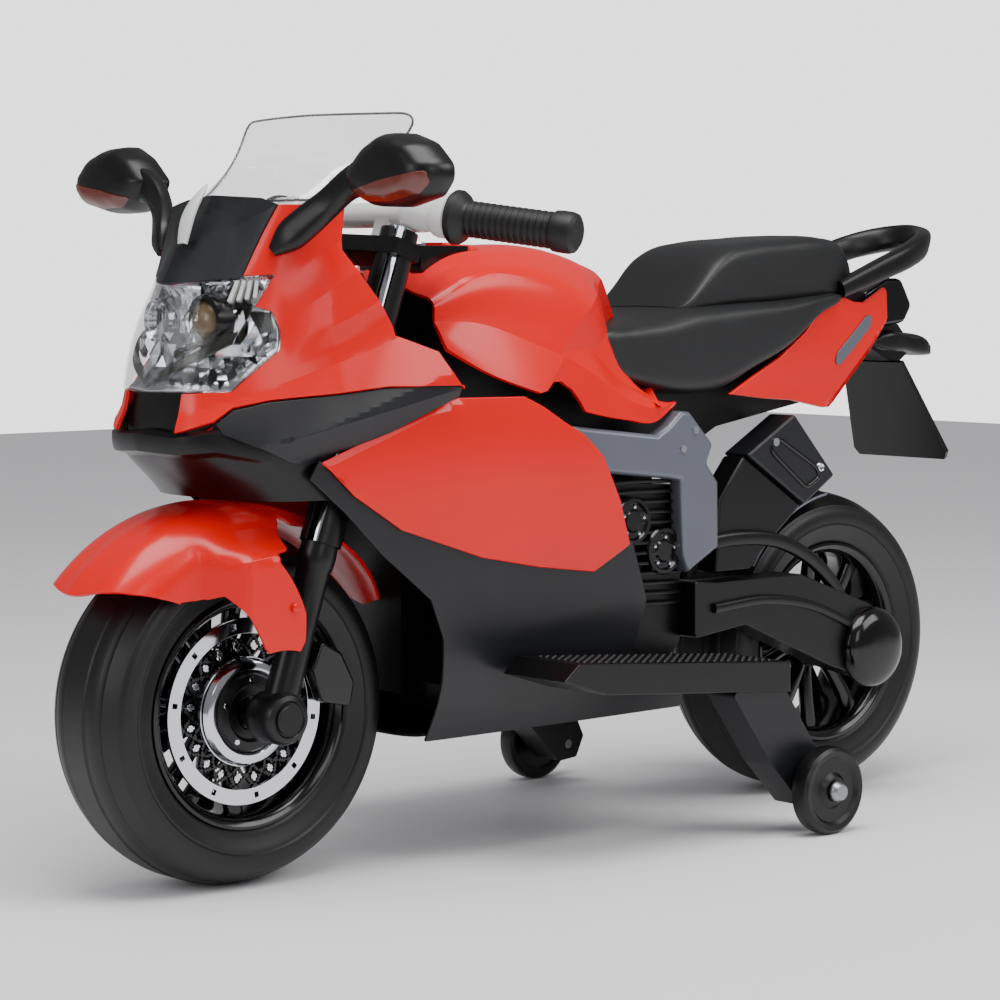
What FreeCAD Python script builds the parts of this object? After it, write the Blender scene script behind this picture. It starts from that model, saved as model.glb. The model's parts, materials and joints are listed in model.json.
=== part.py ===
import FreeCAD, Part
import math
import os
import re
import Sketcher
from FreeCAD import Placement, Rotation, Vector

# A child's battery ride-on motorcycle with stabiliser wheels.
# Frame: +X forwards, +Y to the rider's left, +Z up, millimetres.
# The origin is on the ground, midway between the front fender's tip and the grab rail's end.

DIMENSIONS = {
    "wheel_radius": 150,
    "tyre_half_width": 53,
    "rim_radius": 100,
    "front_axle_x": 372,
    "rear_axle_x": -350,
    "axle_height": 150,
    "rake_angle": 18.5,
    "axle_radius": 6,
    "running_gap": 0.05,
    "panel_gap": 0.5,
    "wall": 4,
    "body_x": 0,
    "body_z": 0,
    "spine_half_width": 40,
    "engine_half_width": 78,
    "fork_spread": 78,
    "slider_radius": 16,
    "stanchion_radius": 12.5,
    "fork_top": 424,
    "yoke_low": 232,
    "yoke_high": 404,
    "yoke_thickness": 14,
    "stem_radius": 12,
    "bush_radius": 16,
    "head_tube_radius": 21,
    "bar_radius": 11,
    "grip_radius": 15,
    "battery_length": 151,
    "battery_width": 65,
    "battery_height": 94,
    "swingarm_inner": 62,
    "swingarm_outer": 98,
    "hub_cover_radius": 40,
    "foot_inner": 110,
    "foot_outer": 190,
    "stabiliser_x": -174,
    "stabiliser_y": 203,
    "stabiliser_radius": 41,
    "stabiliser_width": 20,
    "bolt_radius": 5,
    "gear_radius": 42,
    "pinion_radius": 7,
    "gear_width": 8,
    "motor_radius": 18.5,
    "screen_wall": 3,
    "rail_radius": 7,
    "button_radius": 7,
    "rocker_pivot_radius": 1.2,
    "socket_radius": 9,
    "socket_bore_radius": 3.2,
}

DOC = FreeCAD.newDocument("ride_on_motorcycle")
SHEET = DOC.addObject("Spreadsheet::Sheet", "dims")
for row, (alias, value) in enumerate(DIMENSIONS.items(), start=1):
    SHEET.set("A%d" % row, alias)
    SHEET.set("B%d" % row, str(value))
    SHEET.setAlias("B%d" % row, alias)
DOC.recompute()

NODES = []
ALONG_Y = (0, 1, 0)
ACROSS = Rotation(0.5, 0.5, 0.5, 0.5)
RAKE = math.radians(DIMENSIONS["rake_angle"])


def expression(term):
    """A sheet expression: numbers stay as they are and aliases get the sheet's name."""
    return re.sub("[a-z][a-z_]+", lambda word: "dims." + word.group(), str(term))


def value_of(term):
    """The number that a term has in the sheet now."""
    total = 0.0
    sign = 1.0
    for word in str(term).split():
        if word in "+-":
            sign = 1.0 if word == "+" else -1.0
            continue
        factor = 1.0
        for part in word.split("*"):
            factor *= DIMENSIONS[part] if part in DIMENSIONS else float(part)
        total += sign * factor
        sign = 1.0
    return total


def bind(thing, **terms):
    """Bind properties of an object to the sheet."""
    for name, term in terms.items():
        thing.setExpression(name.replace("__", "."), expression(term))


def keep(thing, label):
    """Name an object as a finished node."""
    thing.Label = label
    NODES.append(thing)
    return thing


def place(thing, x=None, y=None, z=None, turn=None):
    """Place an object by sheet terms; turn is (axis, degrees)."""
    if turn:
        thing.Placement = Placement(Vector(), Rotation(Vector(*turn[0]), turn[1]))
    for axis, term in (("x", x), ("y", y), ("z", z)):
        if term is not None:
            thing.setExpression("Placement.Base." + axis, expression(term))
    return thing


def polygon(sketch, points, datum=("", "")):
    """A closed polygon whose every corner is dimensioned from the sketch's origin.

    A corner is a pair of terms, each measured from the datum's own term."""
    corners = []
    for first, second in points:
        corners.append(tuple((ref + " + " if ref else "") + str(term)
                             for ref, term in zip(datum, (first, second))))
    numbers = [Vector(value_of(a), value_of(b), 0) for a, b in corners]
    count = len(numbers)
    for index in range(count):
        sketch.addGeometry(Part.LineSegment(numbers[index], numbers[(index + 1) % count]), False)
    for index in range(count):
        sketch.addConstraint(Sketcher.Constraint("Coincident", index, 2, (index + 1) % count, 1))
    for index, corner in enumerate(corners):
        for kind, term, number in zip(("DistanceX", "DistanceY"), corner, numbers[index][:2]):
            name = sketch.addConstraint(Sketcher.Constraint(kind, -1, 1, index, 1, number))
            sketch.setExpression("Constraints[%d]" % name, expression(term))
    return sketch


def body(label):
    return keep(DOC.addObject("PartDesign::Body", label), label)


def body_sketch(owner, role, offset=None):
    """A sketch on one of the body's own origin planes, moved along its normal by offset."""
    sketch = owner.newObject("Sketcher::SketchObject", owner.Name + "_sketch")
    plane = [item for item in owner.Origin.OriginFeatures if item.Role == role][0]
    sketch.AttachmentSupport = [(plane, "")]
    sketch.MapMode = "FlatFace"
    if offset is not None:
        sketch.setExpression("AttachmentOffset.Base.z", expression(offset))
    return sketch


def side_pad(owner, points, low, high, datum=("body_x", "body_z")):
    """A slab whose outline is seen from the side, from Y = low to Y = high."""
    sketch = polygon(body_sketch(owner, "XZ_Plane", "0 - ( %s )" % low), points, datum)
    pad = owner.newObject("PartDesign::Pad", owner.Name + "_pad")
    pad.Profile = sketch
    pad.Reversed = True
    bind(pad, Length="%s - ( %s )" % (high, low))
    return pad


def plan_pad(owner, points, low, high, feature="PartDesign::Pad", datum=("", "")):
    """A slab (or a pocket) whose outline is seen from above, from Z = low to Z = high."""
    start = low if feature == "PartDesign::Pad" else high
    sketch = polygon(body_sketch(owner, "XY_Plane", start), points, datum)
    pad = owner.newObject(feature, owner.Name + "_plan")
    pad.Profile = sketch
    bind(pad, Length="%s - ( %s )" % (high, low))
    return pad


def spin(owner, points, role="XY_Plane", feature="PartDesign::Revolution"):
    """A profile turned about the sketch's vertical axis; corners are (radius, along)."""
    sketch = polygon(body_sketch(owner, role), points)
    turned = owner.newObject(feature, owner.Name + "_turned")
    turned.Profile = sketch
    turned.ReferenceAxis = (sketch, ["V_Axis"])
    turned.Angle = 360
    return turned


def spun_body(label, points, role="XY_Plane"):
    owner = body(label)
    spin(owner, points, role)
    return owner


def round_corners(owner, feature, radius, along=(0, 1, 0)):
    """Round every straight edge of a slab that runs along one direction."""
    DOC.recompute()
    names = []
    for index, edge in enumerate(feature.Shape.Edges, start=1):
        if edge.Curve.TypeId != "Part::GeomLine":
            continue
        if abs(edge.tangentAt(edge.FirstParameter).dot(Vector(*along))) > 0.999:
            names.append("Edge%d" % index)
    fillet = owner.newObject("PartDesign::Fillet", owner.Name + "_round")
    fillet.Base = (feature, names)
    fillet.Radius = radius
    return fillet


def cylinder(name, radius, length, x="0", y="0", z="0", axis=(0, 1, 0)):
    """A cylinder from its base point along an axis."""
    rod = DOC.addObject("Part::Cylinder", name)
    rod.Placement = Placement(Vector(), Rotation(Vector(0, 0, 1), Vector(*axis)))
    bind(rod, Radius=radius, Height=length)
    return place(rod, x, y, z)


def block(name, low, high):
    """A box between two corners."""
    box = DOC.addObject("Part::Box", name)
    bind(box, Length="%s - ( %s )" % (high[0], low[0]), Width="%s - ( %s )" % (high[1], low[1]),
         Height="%s - ( %s )" % (high[2], low[2]))
    return place(box, *low)


def boolean(kind, name, *shapes):
    """Cut, Common or MultiFuse of the given objects."""
    result = DOC.addObject("Part::" + kind, name)
    if kind in ("MultiFuse", "Compound"):
        if kind == "Compound":
            result.Links = list(shapes)
        else:
            result.Shapes = list(shapes)
    else:
        result.Base, result.Tool = shapes
    return result


def mirrored(source, label):
    """The same piece on the rider's right."""
    twin = DOC.addObject("Part::Mirroring", label)
    twin.Source = source
    twin.Normal = Vector(*ALONG_Y)
    return keep(twin, label)


def pair(source, stem):
    """Name a left-hand piece and make its right-hand twin."""
    if source not in NODES:
        keep(source, stem + "_left")
    return source, mirrored(source, stem + "_right")


def joined_pair(left, label):
    """A left-hand piece and its right-hand twin, as two solids of one node."""
    twin = DOC.addObject("Part::Mirroring", label + "_twin")
    twin.Source = left
    twin.Normal = Vector(*ALONG_Y)
    return keep(boolean("Compound", label, left, twin), label)


def side_prism(name, points, low, high):
    """A plain slab for trimming, its outline seen from the side, from Y = low to Y = high."""
    sketch = DOC.addObject("Sketcher::SketchObject", name + "_outline")
    sketch.Placement = Placement(Vector(), Rotation(Vector(1, 0, 0), 90))
    polygon(sketch, points, ("body_x", "body_z"))
    place(sketch, y=low)
    slab = DOC.addObject("Part::Extrusion", name + "_slab")
    slab.Base = sketch
    slab.DirMode = "Custom"
    slab.Dir = Vector(*ALONG_Y)
    slab.Solid = True
    bind(slab, LengthFwd="%s - ( %s )" % (high, low))
    return slab


def loft(name, sections, turn, along):
    """A solid through polygon sections; each is (station, points), with stations along an axis."""
    sketches = []
    for number, (station, points) in enumerate(sections):
        sketch = DOC.addObject("Sketcher::SketchObject", "%s_section%d" % (name, number))
        if turn:
            sketch.Placement = Placement(Vector(), turn)
        polygon(sketch, points)
        sketch.setExpression("Placement.Base." + along, expression(station))
        sketches.append(sketch)
    solid = DOC.addObject("Part::Loft", name)
    solid.Sections = sketches
    solid.Solid = True
    solid.Ruled = False
    return solid


def flipped(term):
    """The same length on the other side of zero."""
    swapped = term.translate(str.maketrans("+-", "-+"))
    return term if term == "0" else "0 - " + swapped


def both_sides(half):
    """A symmetric plan section from its left half, whose first point is on the middle."""
    return half + [(x, flipped(y)) for x, y in reversed(half[1:])]


# ---------------------------------------------------------------- wheels


def tyre(label, axle_x):
    """A round-shouldered plastic tyre."""
    owner = spun_body(label, [
        ("rim_radius", "-44"), ("wheel_radius - 30", "0 - tyre_half_width + 2"),
        ("wheel_radius - 14", "0 - tyre_half_width + 3"), ("wheel_radius - 4", "-30"),
        ("wheel_radius", "-12"), ("wheel_radius", "12"), ("wheel_radius - 4", "30"),
        ("wheel_radius - 14", "tyre_half_width - 3"), ("wheel_radius - 30", "tyre_half_width - 2"),
        ("rim_radius", "44")])
    return place(owner, axle_x, None, "axle_height")


def rim(label, axle_x):
    """A moulded wheel: barrel, hub and five double spokes, bored for the axle."""
    owner = body(label)
    spin(owner, [("rim_radius - 12", "-42"), ("rim_radius - 0.2", "-43"), ("rim_radius - 0.2", "43"),
                 ("rim_radius - 12", "42"), ("rim_radius - 16", "20"), ("rim_radius - 16", "-20")])
    spin(owner, [("axle_radius + running_gap", "-40"), ("24", "-40"), ("30", "-14"), ("30", "14"),
                 ("24", "40"), ("axle_radius + running_gap", "40")])
    spoke = polygon(body_sketch(owner, "XZ_Plane", "-13"),
                    [("26", "-11"), ("rim_radius - 14", "-17"), ("rim_radius - 14", "17"), ("26", "11")])
    arm = owner.newObject("PartDesign::Pad", owner.Name + "_spoke")
    arm.Profile = spoke
    arm.Length = 26
    ring = owner.newObject("PartDesign::PolarPattern", owner.Name + "_spokes")
    ring.Originals = [arm]
    ring.Axis = (spoke, ["N_Axis"])
    ring.Angle = 360
    ring.Occurrences = 5
    owner.Tip = ring
    return place(owner, axle_x, None, "axle_height")


def wheels():
    tyre("front_tyre", "front_axle_x")
    rim("front_rim", "front_axle_x")
    tyre("rear_tyre", "rear_axle_x")
    rim("rear_rim", "rear_axle_x")


def brake_disc():
    """A bright trim disc with slots, clipped to the left of the front wheel."""
    disc = body("brake_disc")
    spin(disc, [("33", "40.2"), ("50", "40.2"), ("50", "31"), ("80", "31"), ("80", "34"), ("53", "34"),
                ("53", "43.2"), ("33", "43.2")])
    slot = polygon(body_sketch(disc, "XZ_Plane", "-50"),
                   [("58", "-4"), ("74", "-9"), ("74", "9"), ("58", "4")])
    cut = disc.newObject("PartDesign::Pocket", "disc_slot")
    cut.Profile = slot
    cut.Length = 30
    ring = disc.newObject("PartDesign::PolarPattern", "disc_slots")
    ring.Originals = [cut]
    ring.Axis = (slot, ["N_Axis"])
    ring.Angle = 360
    ring.Occurrences = 10
    disc.Tip = ring
    place(disc, "front_axle_x", None, "axle_height")


def stabilisers():
    """Two small outrigger wheels on moulded arms under the footboards."""
    arm = body("stabiliser_arm_left")
    slab = side_pad(arm, [(-64, 140.9), (-137, 135), (-182, 72), (-194, 48), (-184, 27), (-160, 25),
                          (-118, 68)], "150", "185")
    round_corners(arm, slab, 4)
    bore = cylinder("stabiliser_bore", "bolt_radius", "60", "stabiliser_x", "140", "stabiliser_radius")
    NODES.remove(arm)
    arm.Label = "stabiliser_arm_blank"
    joined_pair(boolean("Cut", "stabiliser_arm", arm, bore), "stabiliser_arms")
    wheel = spun_body("stabiliser_wheel_left", [
        ("bolt_radius + running_gap", "0 - stabiliser_width*0.5"), ("14", "0 - stabiliser_width*0.5"),
        ("18", "0 - stabiliser_width*0.5 + 4"), ("30", "0 - stabiliser_width*0.5 + 4"),
        ("stabiliser_radius - 3", "0 - stabiliser_width*0.5"), ("stabiliser_radius", "-5"),
        ("stabiliser_radius", "5"), ("stabiliser_radius - 3", "stabiliser_width*0.5"),
        ("30", "stabiliser_width*0.5 - 4"), ("18", "stabiliser_width*0.5 - 4"),
        ("14", "stabiliser_width*0.5"), ("bolt_radius + running_gap", "stabiliser_width*0.5")])
    place(wheel, "stabiliser_x", "stabiliser_y", "stabiliser_radius")
    mirrored(wheel, "stabiliser_wheel_right")
    bolt = spun_body("stabiliser_bolt", [("0", "150.5"), ("bolt_radius - 0.02", "150.5"),
                                         ("bolt_radius - 0.02", "214"), ("10", "214"), ("10", "217"),
                                         ("7", "222"), ("0", "222")])
    NODES.remove(bolt)
    place(bolt, "stabiliser_x", None, "stabiliser_radius")
    joined_pair(bolt, "stabiliser_bolts")


# ---------------------------------------------------------------- steering


def steered(thing):
    """Stand a steering piece, drawn upright about the front axle, on the raked axis."""
    rake = Rotation(Vector(*ALONG_Y), -DIMENSIONS["rake_angle"])
    thing.Placement = Placement(Vector(), rake)
    return place(thing, "front_axle_x", None, "axle_height")


def fork():
    leg = body("fork_leg_left")
    spin(leg, [("0", "-22"), ("12", "-22"), ("slider_radius", "-14"), ("slider_radius", "150"),
               ("stanchion_radius", "158"), ("stanchion_radius", "fork_top"), ("0", "fork_top")],
         "XZ_Plane")
    place(leg, None, "fork_spread", None)
    NODES.remove(leg)
    leg.Label = "fork_leg_blank"
    hole = cylinder("axle_hole", "axle_radius", "80", "0", "40", "0")
    leg_left = boolean("Cut", "fork_leg", leg, hole)
    steered(leg_left)
    pair(leg_left, "fork_leg")
    stem = spun_body("steering_stem", [("0", "yoke_low - 4"), ("stem_radius + 4", "yoke_low - 4"),
                                       ("stem_radius + 4", "yoke_low"), ("stem_radius", "yoke_low"),
                                       ("stem_radius", "yoke_high + yoke_thickness + 6"),
                                       ("0", "yoke_high + yoke_thickness + 6")], "XZ_Plane")
    NODES.remove(stem)
    stem.Label = "stem_blank"
    for label, low in (("lower_yoke", "yoke_low"), ("upper_yoke", "yoke_high")):
        plate = body(label)
        outline = [("-19", "-70"), ("-22", "-30"), ("-22", "30"), ("-19", "70"), ("-14", "96"), ("14", "96"),
                   ("19", "70"), ("24", "30"), ("24", "-30"), ("19", "-70"), ("14", "-96"), ("-14", "-96")]
        plan_pad(plate, outline, low, low + " + yoke_thickness")
        NODES.remove(plate)
        plate.Label = label + "_blank"
        holes = [cylinder(label + "_leg_hole", "stanchion_radius", "600", "0", side + "fork_spread", "0",
                          (0, 0, 1)) for side in ("", "0 - ")]
        if label == "upper_yoke":
            holes.append(cylinder(label + "_stem_hole", "stem_radius", "600", "0", "0", "0", (0, 0, 1)))
        bored = boolean("Cut", label, plate, boolean("MultiFuse", label + "_holes", *holes))
        if label == "lower_yoke":
            bored = boolean("MultiFuse", label + "_with_stem", bored, stem)
        steered(keep(bored, label))
    bushes = body("steering_bushes")
    for low in ("264", "384"):
        spin(bushes, [("stem_radius + running_gap", low), ("bush_radius", low),
                      ("bush_radius", low + " + 14"), ("stem_radius + running_gap", low + " + 14")],
             "XZ_Plane")
    return bushes


def handlebar():
    """A bar with risers on the upper yoke; its ends sweep back towards the rider."""
    sweep = 24
    centre_u, height, bend = -12, 447, 104
    rod = cylinder("bar_middle", "bar_radius", "%d" % (2 * bend), str(centre_u), str(-bend), str(height))
    pieces = [rod]
    for side in (1, -1):
        lean = math.radians(sweep)
        direction = (-math.sin(lean), side * math.cos(lean), 0)
        pieces.append(cylinder("bar_end", "bar_radius", "132", str(centre_u), str(side * bend), str(height),
                               direction))
        ball = DOC.addObject("Part::Sphere", "bar_bend")
        bind(ball, Radius="bar_radius")
        pieces.append(place(ball, str(centre_u), str(side * bend), str(height)))
        pieces.append(block("riser", (str(centre_u - 9), str(side * 45 - 9), "yoke_high + yoke_thickness"),
                            (str(centre_u + 9), str(side * 45 + 9), str(height))))
    collars = [cylinder("bar_collar", "15.5", "18", str(centre_u), str(side * (bend - 22) - 9), str(height))
               for side in (1, -1)]
    bar = boolean("MultiFuse", "bar_fused", *pieces)
    steered(keep(boolean("MultiFuse", "handlebar_fuse", bar, *collars), "handlebar"))
    grip = spun_body("grip_blank", [("bar_radius", "26"), ("22", "26"), ("22", "31"), ("grip_radius", "31"),
                                    ("grip_radius + 1", "128"), ("18", "130"), ("18", "137"), ("0", "139"),
                                    ("0", "132"), ("bar_radius", "132")])
    NODES.remove(grip)
    grip.Placement = Placement(Vector(), Rotation(Vector(0, 0, 1), sweep))
    place(grip, str(centre_u), str(bend), str(height))
    grip_left = boolean("Compound", "grip_placed", grip)
    steered(grip_left)
    pair(grip_left, "grip")


def front_fender():
    """A deep fender: a U-shaped ring trimmed to its side outline."""
    ring = spun_body("fender_ring", [("183", "0"), ("179", "40"), ("170", "58"), ("60", "58"), ("60", "61"),
                                     ("172", "61"), ("182", "42"), ("186", "0"), ("182", "-42"),
                                     ("172", "-61"), ("60", "-61"), ("60", "-58"), ("170", "-58"),
                                     ("179", "-40")])
    NODES.remove(ring)
    place(ring, "front_axle_x + 6", None, "axle_height - 10")
    trim = side_prism("fender", [(545, 257), (545, 300), (450, 350), (330, 350), (230, 320), (205, 226),
                                 (226, 226), (262, 268), (300, 282), (333, 276), (318, 208), (362, 206),
                                 (400, 250), (470, 251)], "-70", "70")
    keep(boolean("Common", "fender_trimmed", ring, trim), "front_fender")


def front_axle():
    """The axle with a round cap at each end, and a dummy caliper beside the disc."""
    spun = spun_body("front_axle", [("0", "-98"), ("13", "-98"), ("13", "-94.2"), ("axle_radius - 0.02", "-94.2"),
                                    ("axle_radius - 0.02", "94.2"), ("13", "94.2"), ("13", "98"), ("0", "98")])
    place(spun, "front_axle_x", None, "axle_height")
    caliper = body("brake_caliper")
    slab = side_pad(caliper, [(-94, -2), (-64, 4), (-52, 34), (-62, 58), (-84, 46), (-98, 20)],
                    "46", "61.8", ("front_axle_x", "axle_height"))
    round_corners(caliper, slab, 5)


# ---------------------------------------------------------------- frame


SPINE = [(247, 520), (234, 498), (60, 465), (-19, 427), (-101, 405), (-161, 406), (-255, 444), (-307, 492),
         (-336, 500), (-404, 499), (-404, 450), (-330, 395), (-190, 372), (-104, 330), (-104, 140),
         (180, 135), (205, 150), (205, 330), (287, 404)]
ENGINE = [(20, 336), (-30, 326), (-104, 322), (-104, 176), (-98, 168), (-60, 140), (180, 135), (190, 160),
          (150, 240), (40, 250)]


def main_frame(bushes):
    """The moulded spine with the head tube, the dummy engine, and the battery bay under the seat."""
    frame = body("frame_blank")
    NODES.remove(frame)
    side_pad(frame, SPINE, "0 - spine_half_width", "spine_half_width")
    side_pad(frame, ENGINE, "0 - engine_half_width", "engine_half_width")
    bay = plan_pad(frame, [("-90", "0 - battery_width*0.5 - 0.5"), ("62", "0 - battery_width*0.5 - 0.5"),
                           ("62", "battery_width*0.5 + 0.5"), ("-90", "battery_width*0.5 + 0.5")],
                   "270", "520", "PartDesign::Pocket")
    bay.Label = "battery_bay"
    head = cylinder("head_tube", "head_tube_radius", "136", "0", "0", "262", (0, 0, 1))
    bore = cylinder("head_bore", "bush_radius", "150", "0", "0", "255", (0, 0, 1))
    for piece in (head, bore):
        piece.Placement = Placement(Vector(), Rotation(Vector(*ALONG_Y), -DIMENSIONS["rake_angle"]))
    lift = {"head_tube": 262, "head_bore": 255}
    for piece in (head, bore):
        place(piece, "front_axle_x - %.4f" % (lift[piece.Name] * math.sin(RAKE)), None,
              "axle_height + %.4f" % (lift[piece.Name] * math.cos(RAKE)))
    seat = cylinder("socket_seat", "socket_radius + running_gap", "13", "-40", "-65", "290", (0, -1, 0))
    cutters = boolean("MultiFuse", "frame_bores", bore, seat)
    solid = boolean("Cut", "frame_bored", boolean("MultiFuse", "frame_fused", frame, head), cutters)
    keep(solid, "main_frame")
    steered(bushes)
    bushes.Label = "steering_bushes"
    battery = block("battery", ("-89.5", "0 - battery_width*0.5", "270"),
                    ("battery_length - 89.5", "battery_width*0.5", "270 + battery_height"))
    keep(battery, "battery")


# ---------------------------------------------------------------- bodywork


NOSE_SECTIONS = [
    ("330", [("404", "0"), ("398", "50"), ("376", "86"), ("312", "106"), ("212", "114")]),
    ("372", [("443", "0"), ("436", "52"), ("392", "90"), ("318", "110"), ("212", "118")]),
    ("423", [("445", "0"), ("433", "50"), ("386", "88"), ("310", "108"), ("212", "118")]),
    ("475", [("434", "0"), ("418", "50"), ("370", "86"), ("285", "108"), ("212", "114")]),
    ("520", [("416", "0"), ("396", "50"), ("372", "80"), ("292", "103"), ("212", "106")]),
    ("586", [("378", "0"), ("370", "48"), ("352", "86"), ("300", "97"), ("212", "100")]),
]
NOSE_RED = [(450, 419), (450, 404), (434, 384), (400, 391), (346, 410), (206, 425), (150, 422), (214, 455),
            (269, 490), (301, 545), (312, 577), (368, 577), (374, 519), (367, 473), (424, 421)]
INTAKE = [(460, 403), (460, 331), (318, 331), (320, 352), (344, 366), (433, 383)]
TRIM = [(345, 409), (399, 390), (432, 383), (344, 366.5), (316, 352), (233, 407), (207, 424)]
LENS = [(368, 473), (425, 422), (460, 420), (460, 511), (421, 511), (375, 518)]
COWL = [(375, 519), (421, 512), (460, 512), (460, 577), (368.5, 577)]


def nose_skin():
    """The nose's hollow shell, open below, above and behind."""
    outer = loft("nose_outer", [(z, both_sides(half)) for z, half in NOSE_SECTIONS], None, "z")
    inner_sections = []
    for z, half in NOSE_SECTIONS:
        thin = [("%s - wall" % x, y if y == "0" else "%s - wall" % y) for x, y in half]
        thin[-1] = ("%s - 30" % half[-1][0], thin[-1][1])
        station = {"330": "326", "586": "590"}.get(z, z)
        inner_sections.append((station, both_sides(thin)))
    inner = loft("nose_inner", inner_sections, None, "z")
    return boolean("Cut", "nose_skin", outer, inner)


def nose():
    skin = nose_skin()
    keep(boolean("Common", "nose_part", skin, side_prism("nose", NOSE_RED, "-130", "130")), "nose_fairing")
    keep(boolean("Common", "cowl_part", skin, side_prism("cowl", COWL, "-130", "130")), "dash_cowl")
    keep(boolean("Common", "lens_part", skin, side_prism("lens", LENS, "-130", "130")), "headlight_lens")
    keep(boolean("Common", "intake_part", skin, side_prism("intake", INTAKE, "-130", "130")), "chin_intake")
    joined_pair(boolean("Common", "trim_part", skin, side_prism("trim", TRIM, "20", "130")), "inlet_trims")
    bowl = body("headlight_reflector")
    side_pad(bowl, [(362, 472), (404, 428), (412, 432), (390, 498), (366, 500)], "-48", "48")


PANEL_SECTIONS = [
    ("-115", [("0", "440"), ("100", "440"), ("104", "395"), ("104", "300"), ("100", "200"), ("90", "128"),
              ("84", "118"), ("0", "118")]),
    ("90", [("0", "440"), ("112", "440"), ("118", "395"), ("115", "300"), ("106", "200"), ("95", "128"),
            ("88", "118"), ("0", "118")]),
    ("230", [("0", "440"), ("112", "440"), ("118", "395"), ("115", "300"), ("106", "200"), ("94", "128"),
             ("86", "118"), ("0", "118")]),
    ("370", [("0", "440"), ("98", "440"), ("105", "395"), ("105", "300"), ("96", "200"), ("80", "128"),
             ("72", "118"), ("0", "118")]),
]
SIDE_RED = [(348, 364), (316, 334), (267, 303), (178, 274), (41, 252), (-5, 274), (10, 315), (35, 357),
            (84, 386), (131, 409), (206, 411), (233, 406), (289, 386)]
BELLY = [(358, 350), (348.5, 363), (316.5, 333), (267.5, 302), (178.5, 273), (41, 251), (-12, 272), (-35, 221),
         (-27, 172), (-60, 149), (-104, 122), (-104, 112), (212, 112), (209, 169), (212, 204), (229, 240),
         (284, 283), (321, 319)]


def side_panels():
    """Red flank panels and dark belly fairing, both cut from one thin hull."""
    outer = loft("hull_outer", PANEL_SECTIONS, ACROSS, "x")
    thin = [(x, [(y if y == "0" else "%s - wall" % y, z + (" + wall" if z in ("118", "128") else ""))
                 for y, z in half]) for x, half in PANEL_SECTIONS]
    inner = loft("hull_inner", thin, ACROSS, "x")
    skin = boolean("Cut", "hull_skin", outer, inner)
    nose_cut = loft("nose_solid", [(z, both_sides([(x, y if y == "0" else "%s + panel_gap" % y)
                                                   for x, y in half])) for z, half in NOSE_SECTIONS],
                    None, "z")
    flank = boolean("Common", "side_part", skin, side_prism("side", SIDE_RED, "20", "130"))
    pair(boolean("Cut", "side_trimmed", flank, nose_cut), "side_panel")
    belly = boolean("Cut", "belly_trimmed",
                    boolean("Common", "belly_part", skin, side_prism("belly", BELLY, "0", "130")), nose_cut)
    twin = DOC.addObject("Part::Mirroring", "belly_twin")
    twin.Source = belly
    twin.Normal = Vector(*ALONG_Y)
    keep(boolean("MultiFuse", "belly_joined", belly, twin), "belly_fairing")


TANK_SECTIONS = [
    ("-92", [("0", "468"), ("14", "462"), ("24", "420"), ("78", "404"), ("84", "399")]),
    ("-60", [("0", "512"), ("28", "502"), ("46", "440"), ("84", "414"), ("90", "383")]),
    ("-20", [("0", "530"), ("40", "524"), ("66", "492"), ("87", "427"), ("94", "386")]),
    ("20", [("0", "540"), ("45", "536"), ("74", "512"), ("92", "450"), ("98", "392")]),
    ("100", [("0", "545"), ("50", "543"), ("80", "528"), ("96", "470"), ("104", "412")]),
    ("168", [("0", "536"), ("52", "534"), ("82", "518"), ("93", "480"), ("99", "434")]),
    ("212", [("0", "508"), ("48", "506"), ("80", "496"), ("88", "476"), ("92", "456")]),
]


def tank_form(name, grow, drop):
    """The tank's outer form, made larger or smaller; its section closes across the bottom."""
    sections = []
    for x, half in TANK_SECTIONS:
        left = [(y if y == "0" else "%s %s" % (y, grow), "%s %s" % (z, grow)) for y, z in half]
        left[-1] = (left[-1][0], "%s - %s" % (half[-1][1], drop))
        sections.append((x, left + [(flipped(y), z) for y, z in reversed(left[1:])]))
    return loft(name, sections, ACROSS, "x")


def tank_and_seat():
    """The tank's shell with its hole for the switch panel, and the seat moulded up against it."""
    outer = tank_form("tank_outer", "+ 0", "0")
    inner = tank_form("tank_inner", "- wall", "6")
    shell = boolean("Cut", "tank_shell", outer, inner)
    panel_hole = block("panel_hole", ("128", "-43", "500"), ("184", "43", "560"))
    keep(boolean("Cut", "tank_open", shell, panel_hole), "tank_cover")
    seat = body("seat_blank")
    NODES.remove(seat)
    side_pad(seat, [(-14, 466), (-91, 478), (-127, 488), (-174, 536), (-200, 546), (-264, 552), (-345, 553),
                    (-365, 537), (-336, 501), (-307, 493), (-255, 445), (-161, 407), (-101, 406), (-19, 428)],
             "-85", "85")
    grown = tank_form("tank_grown", "+ panel_gap", "2")
    keep(boolean("Cut", "seat_cut", seat, grown), "seat")


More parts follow.
